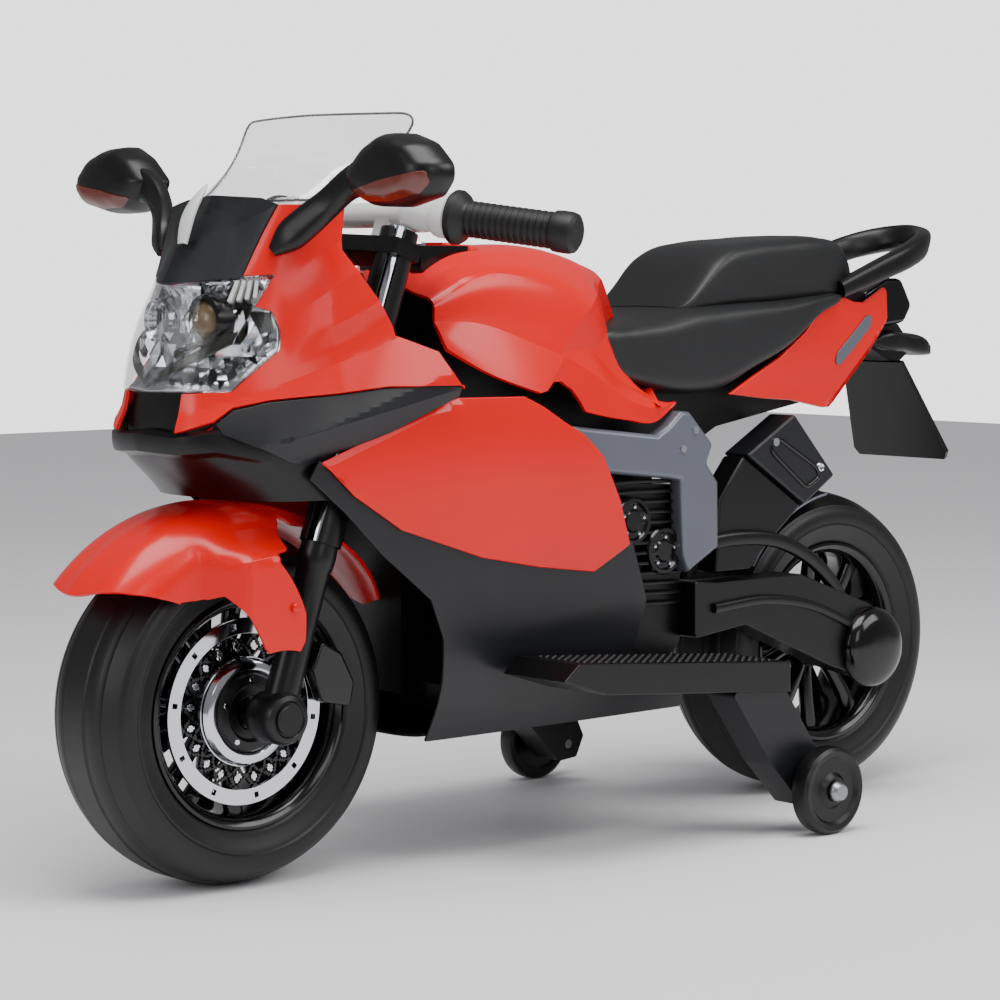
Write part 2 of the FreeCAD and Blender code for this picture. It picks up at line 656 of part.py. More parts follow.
def tail():
    """Tail panels that narrow towards the back, the lamp, the mud flap and the grab rail."""
    panel = body("tail_panel_blank")
    NODES.remove(panel)
    side_pad(panel, [(0, -1), (-96, 37), (-130, 69), (-162, 89), (-177, 92), (-238, 94), (-247, 78),
                     (-243, 54), (-227, 35), (-167, -16), (-146, -20), (-96, -10)], "-6", "0", ("0", "0"))
    panel.Placement = Placement(Vector(), Rotation(Vector(0, 0, 1), 8.2))
    place(panel, "-169", "82", "407")
    joined_pair(panel, "tail_panels")
    lamp = body("tail_lamp")
    side_pad(lamp, [(-405, 500), (-438, 514), (-461, 514), (-478, 486), (-466, 468), (-405, 462)],
             "-40", "40")
    flap = body("mud_flap")
    plate = polygon(body_sketch(flap, "XY_Plane"), [("0", "-40"), ("104", "-63"), ("112", "-58"), ("112", "58"),
                                                    ("104", "63"), ("0", "40")])
    pad = flap.newObject("PartDesign::Pad", "flap_pad")
    pad.Profile = plate
    pad.Length = 5
    flap.Placement = Placement(Vector(), Rotation(Vector(*ALONG_Y), 116))
    place(flap, "-464", None, "430")
    NODES.remove(flap)
    flap.Label = "flap_plate"
    arm = body("mud_flap_arm")
    NODES.remove(arm)
    side_pad(arm, [(-404.5, 461), (-466, 467), (-490, 443), (-470, 429.5), (-452, 429.5), (-404.5, 452)],
             "-30", "30")
    keep(boolean("MultiFuse", "flap_joined", flap, arm), "mud_flap")
    rail = body("grab_rail")
    path = body_sketch(rail, "XY_Plane")
    points = [Vector(0, 56, 0), Vector(-104, 60, 0), Vector(-164, 0, 0), Vector(-104, -60, 0),
              Vector(0, -56, 0)]
    path.addGeometry(Part.LineSegment(points[0], points[1]), False)
    path.addGeometry(Part.Arc(points[1], points[2], points[3]), False)
    path.addGeometry(Part.LineSegment(points[3], points[4]), False)
    ring = rail.newObject("Sketcher::SketchObject", "rail_ring")
    plane = [item for item in rail.Origin.OriginFeatures if item.Role == "YZ_Plane"][0]
    ring.AttachmentSupport = [(plane, "")]
    ring.MapMode = "FlatFace"
    ring.addGeometry(Part.Circle(Vector(56, 0, 0), Vector(0, 0, 1), DIMENSIONS["rail_radius"]), False)
    ring.addConstraint(Sketcher.Constraint("Radius", 0, DIMENSIONS["rail_radius"]))
    ring.setExpression("Constraints[0]", "dims.rail_radius")
    pipe = rail.newObject("PartDesign::AdditivePipe", "rail_pipe")
    pipe.Profile = ring
    pipe.Spine = (path, ["Edge1", "Edge2", "Edge3"])
    rail.Placement = Placement(Vector(), Rotation(Vector(*ALONG_Y), 18))
    place(rail, "-361", None, "508")


def windscreen():
    """A curved clear sheet: a bowed crescent at the foot, lofted to a narrower one at the top."""
    wires = []
    wall = DIMENSIONS["screen_wall"]
    for level, nose, half, wing in ((577.5, 379, 98, 322), (655, 276, 106, 250)):
        front = Part.Arc(Vector(wing, half, level), Vector(nose, 0, level), Vector(wing, -half, level))
        back = Part.Arc(Vector(wing - wall, -half, level), Vector(nose - wall, 0, level),
                        Vector(wing - wall, half, level))
        tips = [Part.makeLine(Vector(wing, side * half, level), Vector(wing - wall, side * half, level))
                for side in (-1, 1)]
        wires.append(Part.Wire([front.toShape(), tips[0], back.toShape(), tips[1]]))
    screen = DOC.addObject("Part::Feature", "windscreen")
    screen.Shape = Part.makeLoft(wires, True, True)
    keep(screen, "windscreen")


def mirrors():
    """Each mirror is a pod on a short arm, flat at the back where its glass goes."""
    pod = DOC.addObject("Part::Ellipsoid", "mirror_pod")
    pod.Radius1 = 24
    pod.Radius2 = 22
    pod.Radius3 = 56
    pod.Placement = Placement(Vector(), Rotation(Vector(1, 0, 0), 8))
    place(pod, "334", "200", "605")
    face = block("mirror_face", ("250", "130", "560"), ("325", "270", "650"))
    arm = cylinder("mirror_arm", "8", "88", "346", "90", "563", (-0.12, 0.82, 0.5))
    shell = boolean("MultiFuse", "mirror_fused", boolean("Cut", "mirror_cut", pod, face), arm)
    joined_pair(boolean("Cut", "mirror_seated", shell, DOC.getObject("nose_outer")), "mirrors")


def controls():
    """The switch panel in the tank's top, with two push buttons and two rockers."""
    base = block("panel_base", ("128.5", "-42.5", "522"), ("183.5", "42.5", "544"))
    holes = []
    for y in (-22, 22):
        holes.append(cylinder("button_hole", "button_radius + 0.3", "12", "168", str(y), "534", (0, 0, 1)))
        holes.append(block("rocker_hole", ("135", str(y - 13), "531"), ("153", str(y + 13), "550")))
    keep(boolean("Cut", "panel_cut", base, boolean("MultiFuse", "panel_holes", *holes)), "control_panel")
    for label, y in (("horn_button", 22), ("music_button", -22)):
        button = spun_body(label, [("0", "537"), ("button_radius", "537"), ("button_radius", "546"),
                                   ("button_radius - 1", "547"), ("0", "547")], "XZ_Plane")
        place(button, "168", str(y), None)
    for label, y in (("power_switch", 22), ("direction_switch", -22)):
        rocker = body("rocker_blank")
        NODES.remove(rocker)
        side_pad(rocker, [(136.2, 541), (144, 535), (151.8, 541), (151.8, 547), (144, 544.6), (136.2, 547)],
                 str(y - 12), str(y + 12))
        pivot = cylinder("rocker_pivot", "rocker_pivot_radius", "26", "144", str(y - 13), "541")
        keep(boolean("Cut", "rocker_bored", rocker, pivot), label)


# ---------------------------------------------------------------- lower parts


def frame_trims():
    """The silver cast-look frame member on each flank: bar, knuckle and leg."""
    trim = body("frame_trim_blank")
    NODES.remove(trim)
    slab = side_pad(trim, [(50, 383), (-56, 371), (-71, 379), (-88, 392), (-99, 391), (-130, 360), (-122, 342),
                           (-137, 324), (-138, 262), (-97, 240), (-90, 257), (-87, 327), (-70, 330), (8, 338),
                           (34, 360)], "engine_half_width + 2", "97")
    chamfer_outer(trim, slab)
    joined_pair(trim, "frame_trims")
    screws = []
    for x, z in ((-104, 374), (-88, 357)):
        screws.append(cylinder("trim_screw", "3.5", "2", str(x), "97", str(z)))
    screws.append(cylinder("silencer_screw", "4", "2", "-218", "92", "358"))
    twins = []
    for screw in screws[:-1]:
        twin = DOC.addObject("Part::Mirroring", "screw_twin")
        twin.Source = screw
        twin.Normal = Vector(*ALONG_Y)
        twins.append(twin)
    keep(boolean("Compound", "screws", *screws, *twins), "trim_screws")


def chamfer_outer(owner, slab):
    """Bevel the long edges of a slab's outer face."""
    DOC.recompute()
    top = max(slab.Shape.Faces, key=lambda face: face.CenterOfMass.y)
    names = ["Edge%d" % (index + 1) for index, edge in enumerate(slab.Shape.Edges)
             if any(edge.isSame(other) for other in top.Edges)]
    bevel = owner.newObject("PartDesign::Chamfer", owner.Name + "_bevel")
    bevel.Base = (slab, names)
    bevel.Size = 3
    return bevel


def swingarms():
    arm = body("swingarm_blank")
    NODES.remove(arm)
    slab = side_pad(arm, [(-104.2, 232), (-134, 229), (-250, 229), (-347, 194), (-395, 170), (-400, 138),
                          (-371, 112), (-292, 136), (-173, 186), (-104.2, 178)],
                    "swingarm_inner", "swingarm_outer")
    round_corners(arm, slab, 4)
    bore = cylinder("axle_bore", "axle_radius", "60", "rear_axle_x", "50", "axle_height")
    left = boolean("Cut", "swingarm_left_cut", arm, bore)
    keep(left, "swingarm_left")
    sleeve = cylinder("sleeve_bore", "14 + running_gap", "60", "rear_axle_x", "50", "axle_height")
    wide = boolean("Cut", "swingarm_wide", arm, sleeve)
    mirrored(wide, "swingarm_right")
    axle = spun_body("rear_axle", [("0", "-122"), ("axle_radius - 0.02", "-122"), ("axle_radius - 0.02", "104"),
                                   ("0", "104")])
    place(axle, "rear_axle_x", None, "axle_height")
    cover = spun_body("hub_cover", [("0", "110"), ("0", "116"), ("24", "114"), ("36", "108"),
                                         ("hub_cover_radius", "102"), ("hub_cover_radius", "98.2"),
                                         ("12", "98.2"), ("12", "110")])
    place(cover, "rear_axle_x", None, "axle_height")


def drive():
    """Motor, pinion and drive gear in a housing on the right swingarm."""
    gear = body("drive_gear")
    spin(gear, [("axle_radius + running_gap", "-112"), ("gear_radius - 2.2", "-112"),
                ("gear_radius - 2.2", "-104"), ("14", "-104"), ("14", "-40.2"),
                ("axle_radius + running_gap", "-40.2")])
    tooth = polygon(body_sketch(gear, "XZ_Plane", "104"),
                    [("gear_radius - 3", "-1.5"), ("gear_radius + 1.4", "-0.6"), ("gear_radius + 1.4", "0.6"),
                     ("gear_radius - 3", "1.5")])
    teeth(gear, tooth, 48)
    place(gear, "rear_axle_x", None, "axle_height")
    pinion = body("motor_pinion")
    spin(pinion, [("0", "-123.9"), ("1.6", "-123.9"), ("1.6", "-112"), ("pinion_radius - 2.2", "-112"),
                  ("pinion_radius - 2.2", "-104"), ("0", "-104")])
    tooth = polygon(body_sketch(pinion, "XZ_Plane", "104"),
                    [("pinion_radius - 3", "-1.6"), ("pinion_radius + 1.2", "-0.5"),
                     ("pinion_radius + 1.2", "0.5"), ("pinion_radius - 3", "1.6")])
    teeth(pinion, tooth, 8)
    pinion.Placement = Placement(Vector(), Rotation(Vector(*ALONG_Y), 22.5))
    place(pinion, "rear_axle_x + gear_radius + pinion_radius + 0.3", None, "axle_height")
    case = body("case_blank")
    NODES.remove(case)
    outline = [(-406, 150), (-390, 190), (-350, 206), (-300, 190), (-276, 168), (-276, 132), (-300, 110),
               (-350, 94), (-390, 110)]
    slab = side_pad(case, outline, "0 - 124", "-98")
    round_corners(case, slab, 8)
    bay = cylinder("gear_bay", "gear_radius + 4", "13", "rear_axle_x", "-116", "axle_height")
    pinion_bay = cylinder("pinion_bay", "pinion_radius + 4", "13",
                          "rear_axle_x + gear_radius + pinion_radius + 0.3", "-116", "axle_height")
    mouth = cylinder("sleeve_mouth", "14 + running_gap", "10", "rear_axle_x", "-104", "axle_height")
    axle_hole = cylinder("case_axle_hole", "axle_radius", "60", "rear_axle_x", "-122", "axle_height")
    shaft_hole = cylinder("shaft_hole", "1.6 + running_gap", "12",
                          "rear_axle_x + gear_radius + pinion_radius + 0.3", "-126", "axle_height")
    tools = boolean("MultiFuse", "case_tools", bay, pinion_bay, mouth, axle_hole, shaft_hole)
    keep(boolean("Cut", "case_cut", case, tools), "gearbox_case")
    motor = cylinder("motor_can", "motor_radius", "42", "rear_axle_x + gear_radius + pinion_radius + 0.3",
                     "-166", "axle_height")
    keep(motor, "motor")


def teeth(owner, sketch, count):
    tooth = owner.newObject("PartDesign::Pad", owner.Name + "_tooth")
    tooth.Profile = sketch
    bind(tooth, Length="gear_width")
    ring = owner.newObject("PartDesign::PolarPattern", owner.Name + "_teeth")
    ring.Originals = [tooth]
    ring.Axis = (sketch, ["N_Axis"])
    ring.Angle = 360
    ring.Occurrences = count
    owner.Tip = ring


def footboards():
    """A shelf for each foot on a bracket from the engine, and the pedal hinged on the right one."""
    outline = [(147, 170), (129, 184), (-137, 163), (-137, 135), (96, 154)]
    for side, label in ((1, "footboard_left"), (-1, "footboard_right")):
        board = body(label)
        low, high = ("foot_inner", "foot_outer") if side > 0 else ("0 - foot_outer", "0 - foot_inner")
        side_pad(board, outline, low, high)
        bracket = ("engine_half_width", "foot_inner + 1") if side > 0 else ("0 - foot_inner - 1",
                                                                          "0 - engine_half_width")
        side_pad(board, [(-98, 151), (-62, 153), (-62, 166), (-98, 163)], *bracket)
        if side < 0:
            for y in (-176, -134):
                side_pad(board, [(12, 172), (28, 173), (28, 187), (12, 187)], str(y), str(y + 5))
            bore = cylinder("pedal_bore", "3 + running_gap", "80", "20", "-190", "181")
            NODES.remove(board)
            board.Label = "footboard_blank"
            keep(boolean("Cut", "footboard_cut", board, bore), "footboard_right")
    trunnion = cylinder("pedal_trunnion", "3", "47", "20", "-176", "181")
    pedal = body("pedal_blank")
    NODES.remove(pedal)
    side_pad(pedal, [(14, 178), (24, 177), (110, 194), (112, 200), (100, 201), (20, 186), (14, 184)],
             "-170.5", "-134.5")
    keep(boolean("MultiFuse", "pedal_joined", pedal, trunnion), "accelerator_pedal")


def silencer():
    """The raised dummy silencer on the left and its slanted end cap."""
    can = body("silencer")
    side_pad(can, [(-142, 236), (-146, 306), (-180, 346), (-260.5, 295), (-204, 252), (-190, 236)],
                    "swingarm_inner - 2", "88")
    cap = body("silencer_cap")
    side_pad(cap, [(-180.5, 347), (-246, 384), (-304, 322), (-261, 295.5)], "58", "92")


def charging_socket():
    """The charger's round jack, set into the right side of the engine block."""
    socket = cylinder("socket_barrel", "socket_radius", "14.4", "-40", "-65.1", "290", (0, -1, 0))
    hole = cylinder("socket_hole", "socket_bore_radius", "13", "-40", "-67.5", "290", (0, -1, 0))
    keep(boolean("Cut", "socket_cut", socket, hole), "charging_socket")


def build():
    wheels()
    brake_disc()
    stabilisers()
    bushes = fork()
    handlebar()
    front_fender()
    front_axle()
    main_frame(bushes)
    nose()
    side_panels()
    tank_and_seat()
    tail()
    windscreen()
    mirrors()
    controls()
    frame_trims()
    swingarms()
    drive()
    footboards()
    silencer()
    charging_socket()


def check_and_write():
    DOC.recompute()
    faults = [item.Label for item in DOC.Objects if "Invalid" in item.State or "Error" in item.State]
    if faults:
        raise RuntimeError("objects that failed: " + ", ".join(faults))
    os.makedirs("parts", exist_ok=True)
    for node in NODES:
        shape = node.Shape
        if shape.isNull() or not shape.isValid() or not shape.Solids:
            raise RuntimeError("bad shape: " + node.Label)
    for node in NODES:
        node.Shape.exportStep("parts/%s.step" % node.Label)


build()
check_and_write()
print(len(NODES), "nodes")
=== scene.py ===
import json
import math

import bmesh
import bpy
import numpy as np
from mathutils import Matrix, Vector
from mathutils.geometry import delaunay_2d_cdt


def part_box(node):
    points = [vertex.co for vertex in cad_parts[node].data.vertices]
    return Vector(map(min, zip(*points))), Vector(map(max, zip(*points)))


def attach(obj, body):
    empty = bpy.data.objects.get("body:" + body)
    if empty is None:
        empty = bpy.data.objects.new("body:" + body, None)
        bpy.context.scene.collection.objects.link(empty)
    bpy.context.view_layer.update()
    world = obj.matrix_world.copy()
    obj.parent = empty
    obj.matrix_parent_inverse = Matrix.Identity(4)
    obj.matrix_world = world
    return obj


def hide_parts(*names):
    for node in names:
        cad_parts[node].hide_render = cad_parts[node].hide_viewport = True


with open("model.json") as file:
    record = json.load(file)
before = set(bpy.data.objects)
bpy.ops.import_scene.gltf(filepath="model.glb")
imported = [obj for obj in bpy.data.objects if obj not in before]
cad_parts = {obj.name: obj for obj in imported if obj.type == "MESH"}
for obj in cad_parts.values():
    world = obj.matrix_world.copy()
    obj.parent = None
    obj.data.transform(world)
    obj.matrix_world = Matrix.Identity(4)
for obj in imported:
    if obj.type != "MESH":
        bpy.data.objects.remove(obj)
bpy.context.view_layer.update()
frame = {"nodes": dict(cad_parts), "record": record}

# A child's battery ride-on motorcycle: +X forwards, +Y to the rider's left, +Z up.
# Shapes are worked out in millimetres and put into the meshes in metres.

MM = 0.001
TURN = 2 * math.pi
BODY, STEER = "chassis", "steering"
SIDES = ((1, "left"), (-1, "right"))
WELD = 0.02 * MM      # points nearer than this are one
FRONT_AXLE = np.array([372.0, 0.0, 150.0])
REAR_AXLE = np.array([-350.0, 0.0, 150.0])
RAKE = math.radians(18.5)
SIDEWAYS = np.array([0.0, 1.0, 0.0])
FORK_UP = np.array([-math.sin(RAKE), 0.0, math.cos(RAKE)])
FORK_AHEAD = np.array([math.cos(RAKE), 0.0, math.sin(RAKE)])
FORK_SPREAD = 78


# ---------------- shapes as arrays


def cubic(values, knots, where):
    """Catmull-Rom interpolation along the first axis: a cubic through every value at its knot."""
    values, knots = np.asarray(values, float), np.asarray(knots, float)
    slopes = np.gradient(values, knots, axis=0)
    where = np.clip(where, knots[0], knots[-1])
    cell = np.clip(np.searchsorted(knots, where, side="right") - 1, 0, len(knots) - 2)
    width = knots[cell + 1] - knots[cell]
    share = (where - knots[cell]) / width
    extra = share.shape + (1,) * (values.ndim - 1)
    share, width = share.reshape(extra), width.reshape(extra)
    rise = share ** 2 * (3 - 2 * share)
    start, end = share * (1 - share) ** 2 * width, share ** 2 * (share - 1) * width
    return values[cell] * (1 - rise) + values[cell + 1] * rise + slopes[cell] * start + slopes[cell + 1] * end


def skin(net, rows, columns):
    """A smooth surface through a net of points, cubic both ways, as a function of two arrays."""
    net = np.asarray(net, float)

    def at(u, v):
        """The net's points weighted by the cubic's share of each row and each column."""
        u, v = np.broadcast_arrays(np.asarray(u, float), np.asarray(v, float))
        along = cubic(np.eye(len(rows)), rows, u.ravel())
        across = cubic(np.eye(len(columns)), columns, v.ravel())
        return np.einsum("ni,nj,ijk->nk", along, across, net).reshape(u.shape + (net.shape[-1],))
    return at


def smooth_loop(points, count=120, rounds=3):
    """A closed outline respaced evenly, its corners softened by averaging each point with its neighbours."""
    points = np.asarray(points, float)
    closed = np.vstack([points, points[:1]])
    steps = np.r_[0, np.cumsum(np.linalg.norm(np.diff(closed, axis=0), axis=1))]
    where = np.linspace(0, steps[-1], count, endpoint=False)
    loop = np.stack([np.interp(where, steps, closed[:, k]) for k in range(closed.shape[1])], 1)
    for _ in range(rounds):
        loop = (np.roll(loop, 1, 0) + 2 * loop + np.roll(loop, -1, 0)) / 4
    return loop


def both_halves(half, axis):
    """A half, then its mirror image in one axis, back to front; an end on the middle line isn't repeated."""
    half = np.asarray(half, float)
    back = half[::-1] * np.where(np.arange(half.shape[1]) == axis, -1.0, 1.0)
    return np.vstack([half, back[int(half[-1, axis] == 0):len(half) - int(half[0, axis] == 0)]])


def dense(points, pitch, closed=True):
    """A polyline with points added so that none are further apart than the pitch."""
    points = np.asarray(points, float)
    ends = np.roll(points, -1, 0) if closed else points[1:]
    runs = []
    for start, end in zip(points if closed else points[:-1], ends):
        count = max(1, int(np.ceil(np.linalg.norm(end - start) / pitch)))
        runs.append(start + (end - start) * (np.arange(count) / count)[:, None])
    if not closed:
        runs.append(points[-1:])
    return np.vstack(runs)


def inside(points, loop):
    """Which points lie in a closed outline: the crossings of a ray to the right are odd."""
    ahead = np.roll(loop, -1, 0)
    x, y = points[:, :1], points[:, 1:2]
    spans = (loop[:, 1] > y) != (ahead[:, 1] > y)
    rise = np.where(ahead[:, 1] == loop[:, 1], 1e-9, ahead[:, 1] - loop[:, 1])
    crossing = loop[:, 0] + (y - loop[:, 1]) * (ahead[:, 0] - loop[:, 0]) / rise
    return (spans & (x < crossing)).sum(1) % 2 == 1


def gap(points, line):
    """Each point's distance to the nearest point of a line."""
    return np.linalg.norm(points[:, None] - line[None], axis=2).min(1)


def fill(outline, pitch, creases=()):
    """An outline filled with a grid of the pitch, in triangles that follow its creases: first, second, faces."""
    loop = dense(outline, pitch)
    low, high = loop.min(0), loop.max(0)
    grid = np.stack(np.meshgrid(*(np.arange(low[k], high[k], pitch) for k in (0, 1)), indexing="ij"), -1)
    grid[:, ::2, 0] += pitch / 2
    points = grid.reshape(-1, 2)
    points = points[inside(points, loop)]
    points = points[gap(points, dense(outline, pitch / 2)) > 0.55 * pitch]
    count = len(loop)
    edges = [(k, (k + 1) % count) for k in range(count)]
    every = [loop]
    for crease in creases:
        run = dense(crease, pitch, False)
        run = run[inside(run, loop) & (gap(run, loop) > 0.3 * pitch)]
        points = points[gap(points, run) > 0.55 * pitch]
        edges += [(count + k, count + k + 1) for k in range(len(run) - 1)]
        count += len(run)
        every.append(run)
    every = np.vstack(every + [points])
    found = delaunay_2d_cdt([Vector(point) for point in every], edges, [], 1, 1e-4)
    first, second = np.array([tuple(point) for point in found[0]]).T
    return first, second, np.array(found[2])


def fold(x, z, start, end, slope, limit):
    """Height beyond a crease: the distance left of the line from start to end, up to a limit, times a slope."""
    run = np.subtract(end, start)
    side = np.array([-run[1], run[0]]) / np.linalg.norm(run)
    return slope * np.clip((x - start[0]) * side[0] + (z - start[1]) * side[1], 0, limit)


def quads(rows, columns, wrap_rows=False, wrap_columns=False):
    """Corner numbers of the four-sided faces of a grid of points, row by row."""
    number = np.arange(rows * columns).reshape(rows, columns)
    number = np.vstack([number, number[:1]]) if wrap_rows else number
    number = np.hstack([number, number[:, :1]]) if wrap_columns else number
    return np.stack([number[:-1, :-1], number[1:, :-1], number[1:, 1:], number[:-1, 1:]], -1).reshape(-1, 4)


def circle(count):
    """Evenly spaced angles of one turn."""
    return np.linspace(0, TURN, count, endpoint=False)


def bulge(wave, power):
    """A cosine or sine raised to 2/power, with its sign: above 2 it squares a circle's corners."""
    return np.sign(wave) * np.abs(wave) ** (2 / power)


def oval(wide, high, count=24, power=2.0):
    """A closed superellipse: two radii times the bulged cosine and sine."""
    turn = circle(count)
    return np.stack([wide * bulge(np.cos(turn), power), high * bulge(np.sin(turn), power)], -1)


def mirrored(points):
    """The same points on the rider's right."""
    return np.asarray(points, float) * np.array([1.0, -1.0, 1.0])


def raked(across, ahead, height):
    """Points of the fork's own frame: sideways, ahead of the steering axis, and height along it from the axle."""
    across, ahead, height = (np.asarray(part, float)[..., None] for part in (across, ahead, height))
    return FRONT_AXLE + across * SIDEWAYS + ahead * FORK_AHEAD + height * FORK_UP


# ---------------- meshes


def linked(name, data):
    """A new object in the scene."""
    thing = bpy.data.objects.new(name, data)
    bpy.context.scene.collection.objects.link(thing)
    return thing


def show(name, mesh, finish, angle, body, node):
    """A finished mesh as a piece on a body, smooth below an angle; it may stand for a CAD node."""
    mesh.polygons.foreach_set("use_smooth", np.ones(len(mesh.polygons), bool))
    mesh.set_sharp_from_angle(angle=math.radians(angle))
    mesh.materials.append(finish)
    piece = linked(name, mesh)
    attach(piece, body)
    if node:
        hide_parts(node)
    return piece


def mesh_piece(name, parts, finish, angle=35, body=BODY, node=None, outwards=True):
    """A mesh object from (points, faces) parts in millimetres, welded and, when closed, facing outwards."""
    points, faces, base = [], [], 0
    for some, corners in parts:
        some = np.asarray(some, float).reshape(-1, 3)
        points.append(some)
        faces += [[int(k) + base for k in face] for face in corners]
        base += len(some)
    mesh = bpy.data.meshes.new(name)
    mesh.from_pydata((np.vstack(points) * MM).tolist(), [], faces)
    work = bmesh.new()
    work.from_mesh(mesh)
    bmesh.ops.remove_doubles(work, verts=work.verts, dist=WELD)
    bmesh.ops.dissolve_degenerate(work, edges=work.edges, dist=WELD / 2)
    if outwards:
        bmesh.ops.recalc_face_normals(work, faces=work.faces)
    work.to_mesh(mesh)
    work.free()
    return show(name, mesh, finish, angle, body, node)


def bevelled(piece, width, segments=2, angle=40):
    """Round a piece's edges by a bevel of that width in millimetres."""
    bevel = piece.modifiers.new("edge", "BEVEL")
    bevel.width = width * MM
    bevel.segments = segments
    bevel.limit_method = "ANGLE"
    bevel.angle_limit = math.radians(angle)
    bevel.harden_normals = True
    return piece


def faced(points, faces, outward):
    """The faces turned so that together they look along outward."""
    corners = points[faces[:, :3]]
    normal = np.cross(corners[:, 1] - corners[:, 0], corners[:, 2] - corners[:, 0]).sum(0)
    return faces if normal @ np.asarray(outward, float) > 0 else faces[:, ::-1]


def sheet(name, parts, wall, finish, outward=(0, 1, 0), both=True, bevel=0.8, angle=28, body=BODY, node=None):
    """A moulded sheet from open surfaces; the other side is a mirror image, and the wall goes inwards."""
    sides = []
    for points, faces in parts:
        points, faces = np.asarray(points, float).reshape(-1, 3), np.asarray(faces)
        sides.append((points, faced(points, faces, outward)))
        if both:
            points = mirrored(points)
            sides.append((points, faced(points, faces, mirrored(outward))))
    piece = mesh_piece(name, sides, finish, angle, body, node, False)
    solid = piece.modifiers.new("wall", "SOLIDIFY")
    solid.thickness = wall * MM
    solid.offset = -1
    solid.use_even_offset = True
    return bevelled(piece, bevel) if bevel else piece


def tube(rings, closed=False):
    """Rings of points joined along a path; open ends are capped by a centre point."""
    rings = np.asarray(rings, float)
    count, around = rings.shape[:2]
    faces = quads(count, around, closed, True).tolist()
    points = rings.reshape(-1, 3)
    if not closed:
        points = np.vstack([points, rings[0].mean(0), rings[-1].mean(0)])
        for ring_number, centre in ((0, count * around), (count - 1, count * around + 1)):
            near = ring_number * around + np.arange(around)
            faces += np.stack([near, np.roll(near, -1), np.full(around, centre)], -1).tolist()
    return points, faces


def swept(path, section, up=(0, 0, 1)):
    """Rings of a flat section, (side, up) in millimetres, carried along a path; it may vary by ring."""
    path = np.asarray(path, float)
    ahead = np.gradient(path, axis=0)
    ahead /= np.linalg.norm(ahead, axis=1, keepdims=True)
    side = np.cross(ahead, np.asarray(up, float))
    side /= np.linalg.norm(side, axis=1, keepdims=True)
    top = np.cross(side, ahead)
    section = np.asarray(section, float)
    if section.ndim == 2:
        section = np.broadcast_to(section, (len(path),) + section.shape)
    return path[:, None] + section[..., :1] * side[:, None] + section[..., 1:] * top[:, None]


def bar(points, section, up=(0, 0, 1), count=40):
    """A section carried along a smooth curve through a few points; section may be a list of one per point."""
    points = np.asarray(points, float)
    knots = np.r_[0, np.cumsum(np.linalg.norm(np.diff(points, axis=0), axis=1))]
    where = np.linspace(0, knots[-1], count)
    section = np.asarray(section, float)
    if section.ndim == 3:
        section = cubic(section, knots, where)
    return tube(swept(cubic(points, knots, where), section, up))


def ring(profile, centre=(0, 0, 0), around=96, axis="y"):
    """A closed profile of (radius, along) turned about an axis through the centre."""
    profile = np.asarray(profile, float)
    turn = circle(around)[:, None]
    radius, along = profile[None, :, 0], np.broadcast_to(profile[None, :, 1], (around, len(profile)))
    first, second = radius * np.cos(turn), radius * np.sin(turn)
    order = {"y": (first, along, second), "z": (first, second, along), "x": (along, first, second)}[axis]
    return np.stack(order, -1).reshape(-1, 3) + np.asarray(centre, float), quads(around, len(profile), True, True)


def round_of(profile, centre, reach, count, start):
    """Small turned shapes, evenly spaced on a circle of that reach about a centre, the first at a start angle."""
    return [ring(profile, np.add(centre, (reach * math.cos(a), 0, reach * math.sin(a))), 12)
            for a in circle(count) + start]


def turned(profile, base, axis, first, around=40):
    """A profile of (radius, along) turned about a line from base along axis, starting on the side of first."""
    radius, along = np.array(profile, float).T[:, :, None, None]
    turn = circle(around)[None, :, None]
    return tube(base + along * axis + radius * (np.cos(turn) * first + np.sin(turn) * np.cross(axis, first)))


def cells(radii, around, kept, low, high, centre):
    """A flat ring plate made of polar cells, low to high along Y; only the kept cells are solid."""
    turn = circle(around)
    flat = np.stack([np.outer(radii, np.cos(turn)), np.zeros((len(radii), around)),
                     np.outer(radii, np.sin(turn))], -1).reshape(-1, 3)
    points = np.vstack([flat + (0, low, 0), flat + (0, high, 0)]) + np.asarray(centre, float)
    faces = quads(len(radii), around, False, True)[kept.ravel()]
    count = len(flat)
    edges = np.stack([faces, np.roll(faces, -1, 1)], -1).reshape(-1, 2)
    _, first, times = np.unique(np.sort(edges, 1), axis=0, return_index=True, return_counts=True)
    rim = edges[first[times == 1]]
    walls = np.stack([rim[:, 0], rim[:, 1], rim[:, 1] + count, rim[:, 0] + count], -1)
    return points, np.vstack([faces[:, ::-1], faces + count, walls])


def ball(centre, radii, power, around, up):
    """A superellipsoid: a superellipse of latitude turned about Z, squashed to its three radii."""
    lift = np.linspace(-math.pi / 2, math.pi / 2, up + 1)[1:-1, None]
    spin = circle(around)
    flat, high = bulge(np.cos(lift), power), bulge(np.sin(lift), power)
    level = np.stack([flat * bulge(np.cos(spin), power), flat * bulge(np.sin(spin), power),
                      np.broadcast_to(high, (up - 1, around))], -1)
    points, faces = tube(level * np.asarray(radii, float))
    points[-2:, 2] = (-radii[2], radii[2])
    return points + np.asarray(centre, float), faces


def refined(node, finish, bevel, body=BODY, name=None):
    """A CAD node's own shape, welded, its flat faces joined and its edges rounded."""
    mesh = frame["nodes"][node].data.copy()
    mesh.materials.clear()
    work = bmesh.new()
    work.from_mesh(mesh)
    bmesh.ops.remove_doubles(work, verts=work.verts, dist=WELD)
    bmesh.ops.dissolve_limit(work, angle_limit=math.radians(2), verts=work.verts, edges=work.edges)
    work.to_mesh(mesh)
    work.free()
    return bevelled(show(name or node + "_moulding", mesh, finish, 35, body, node), bevel)


# ---------------- wheels


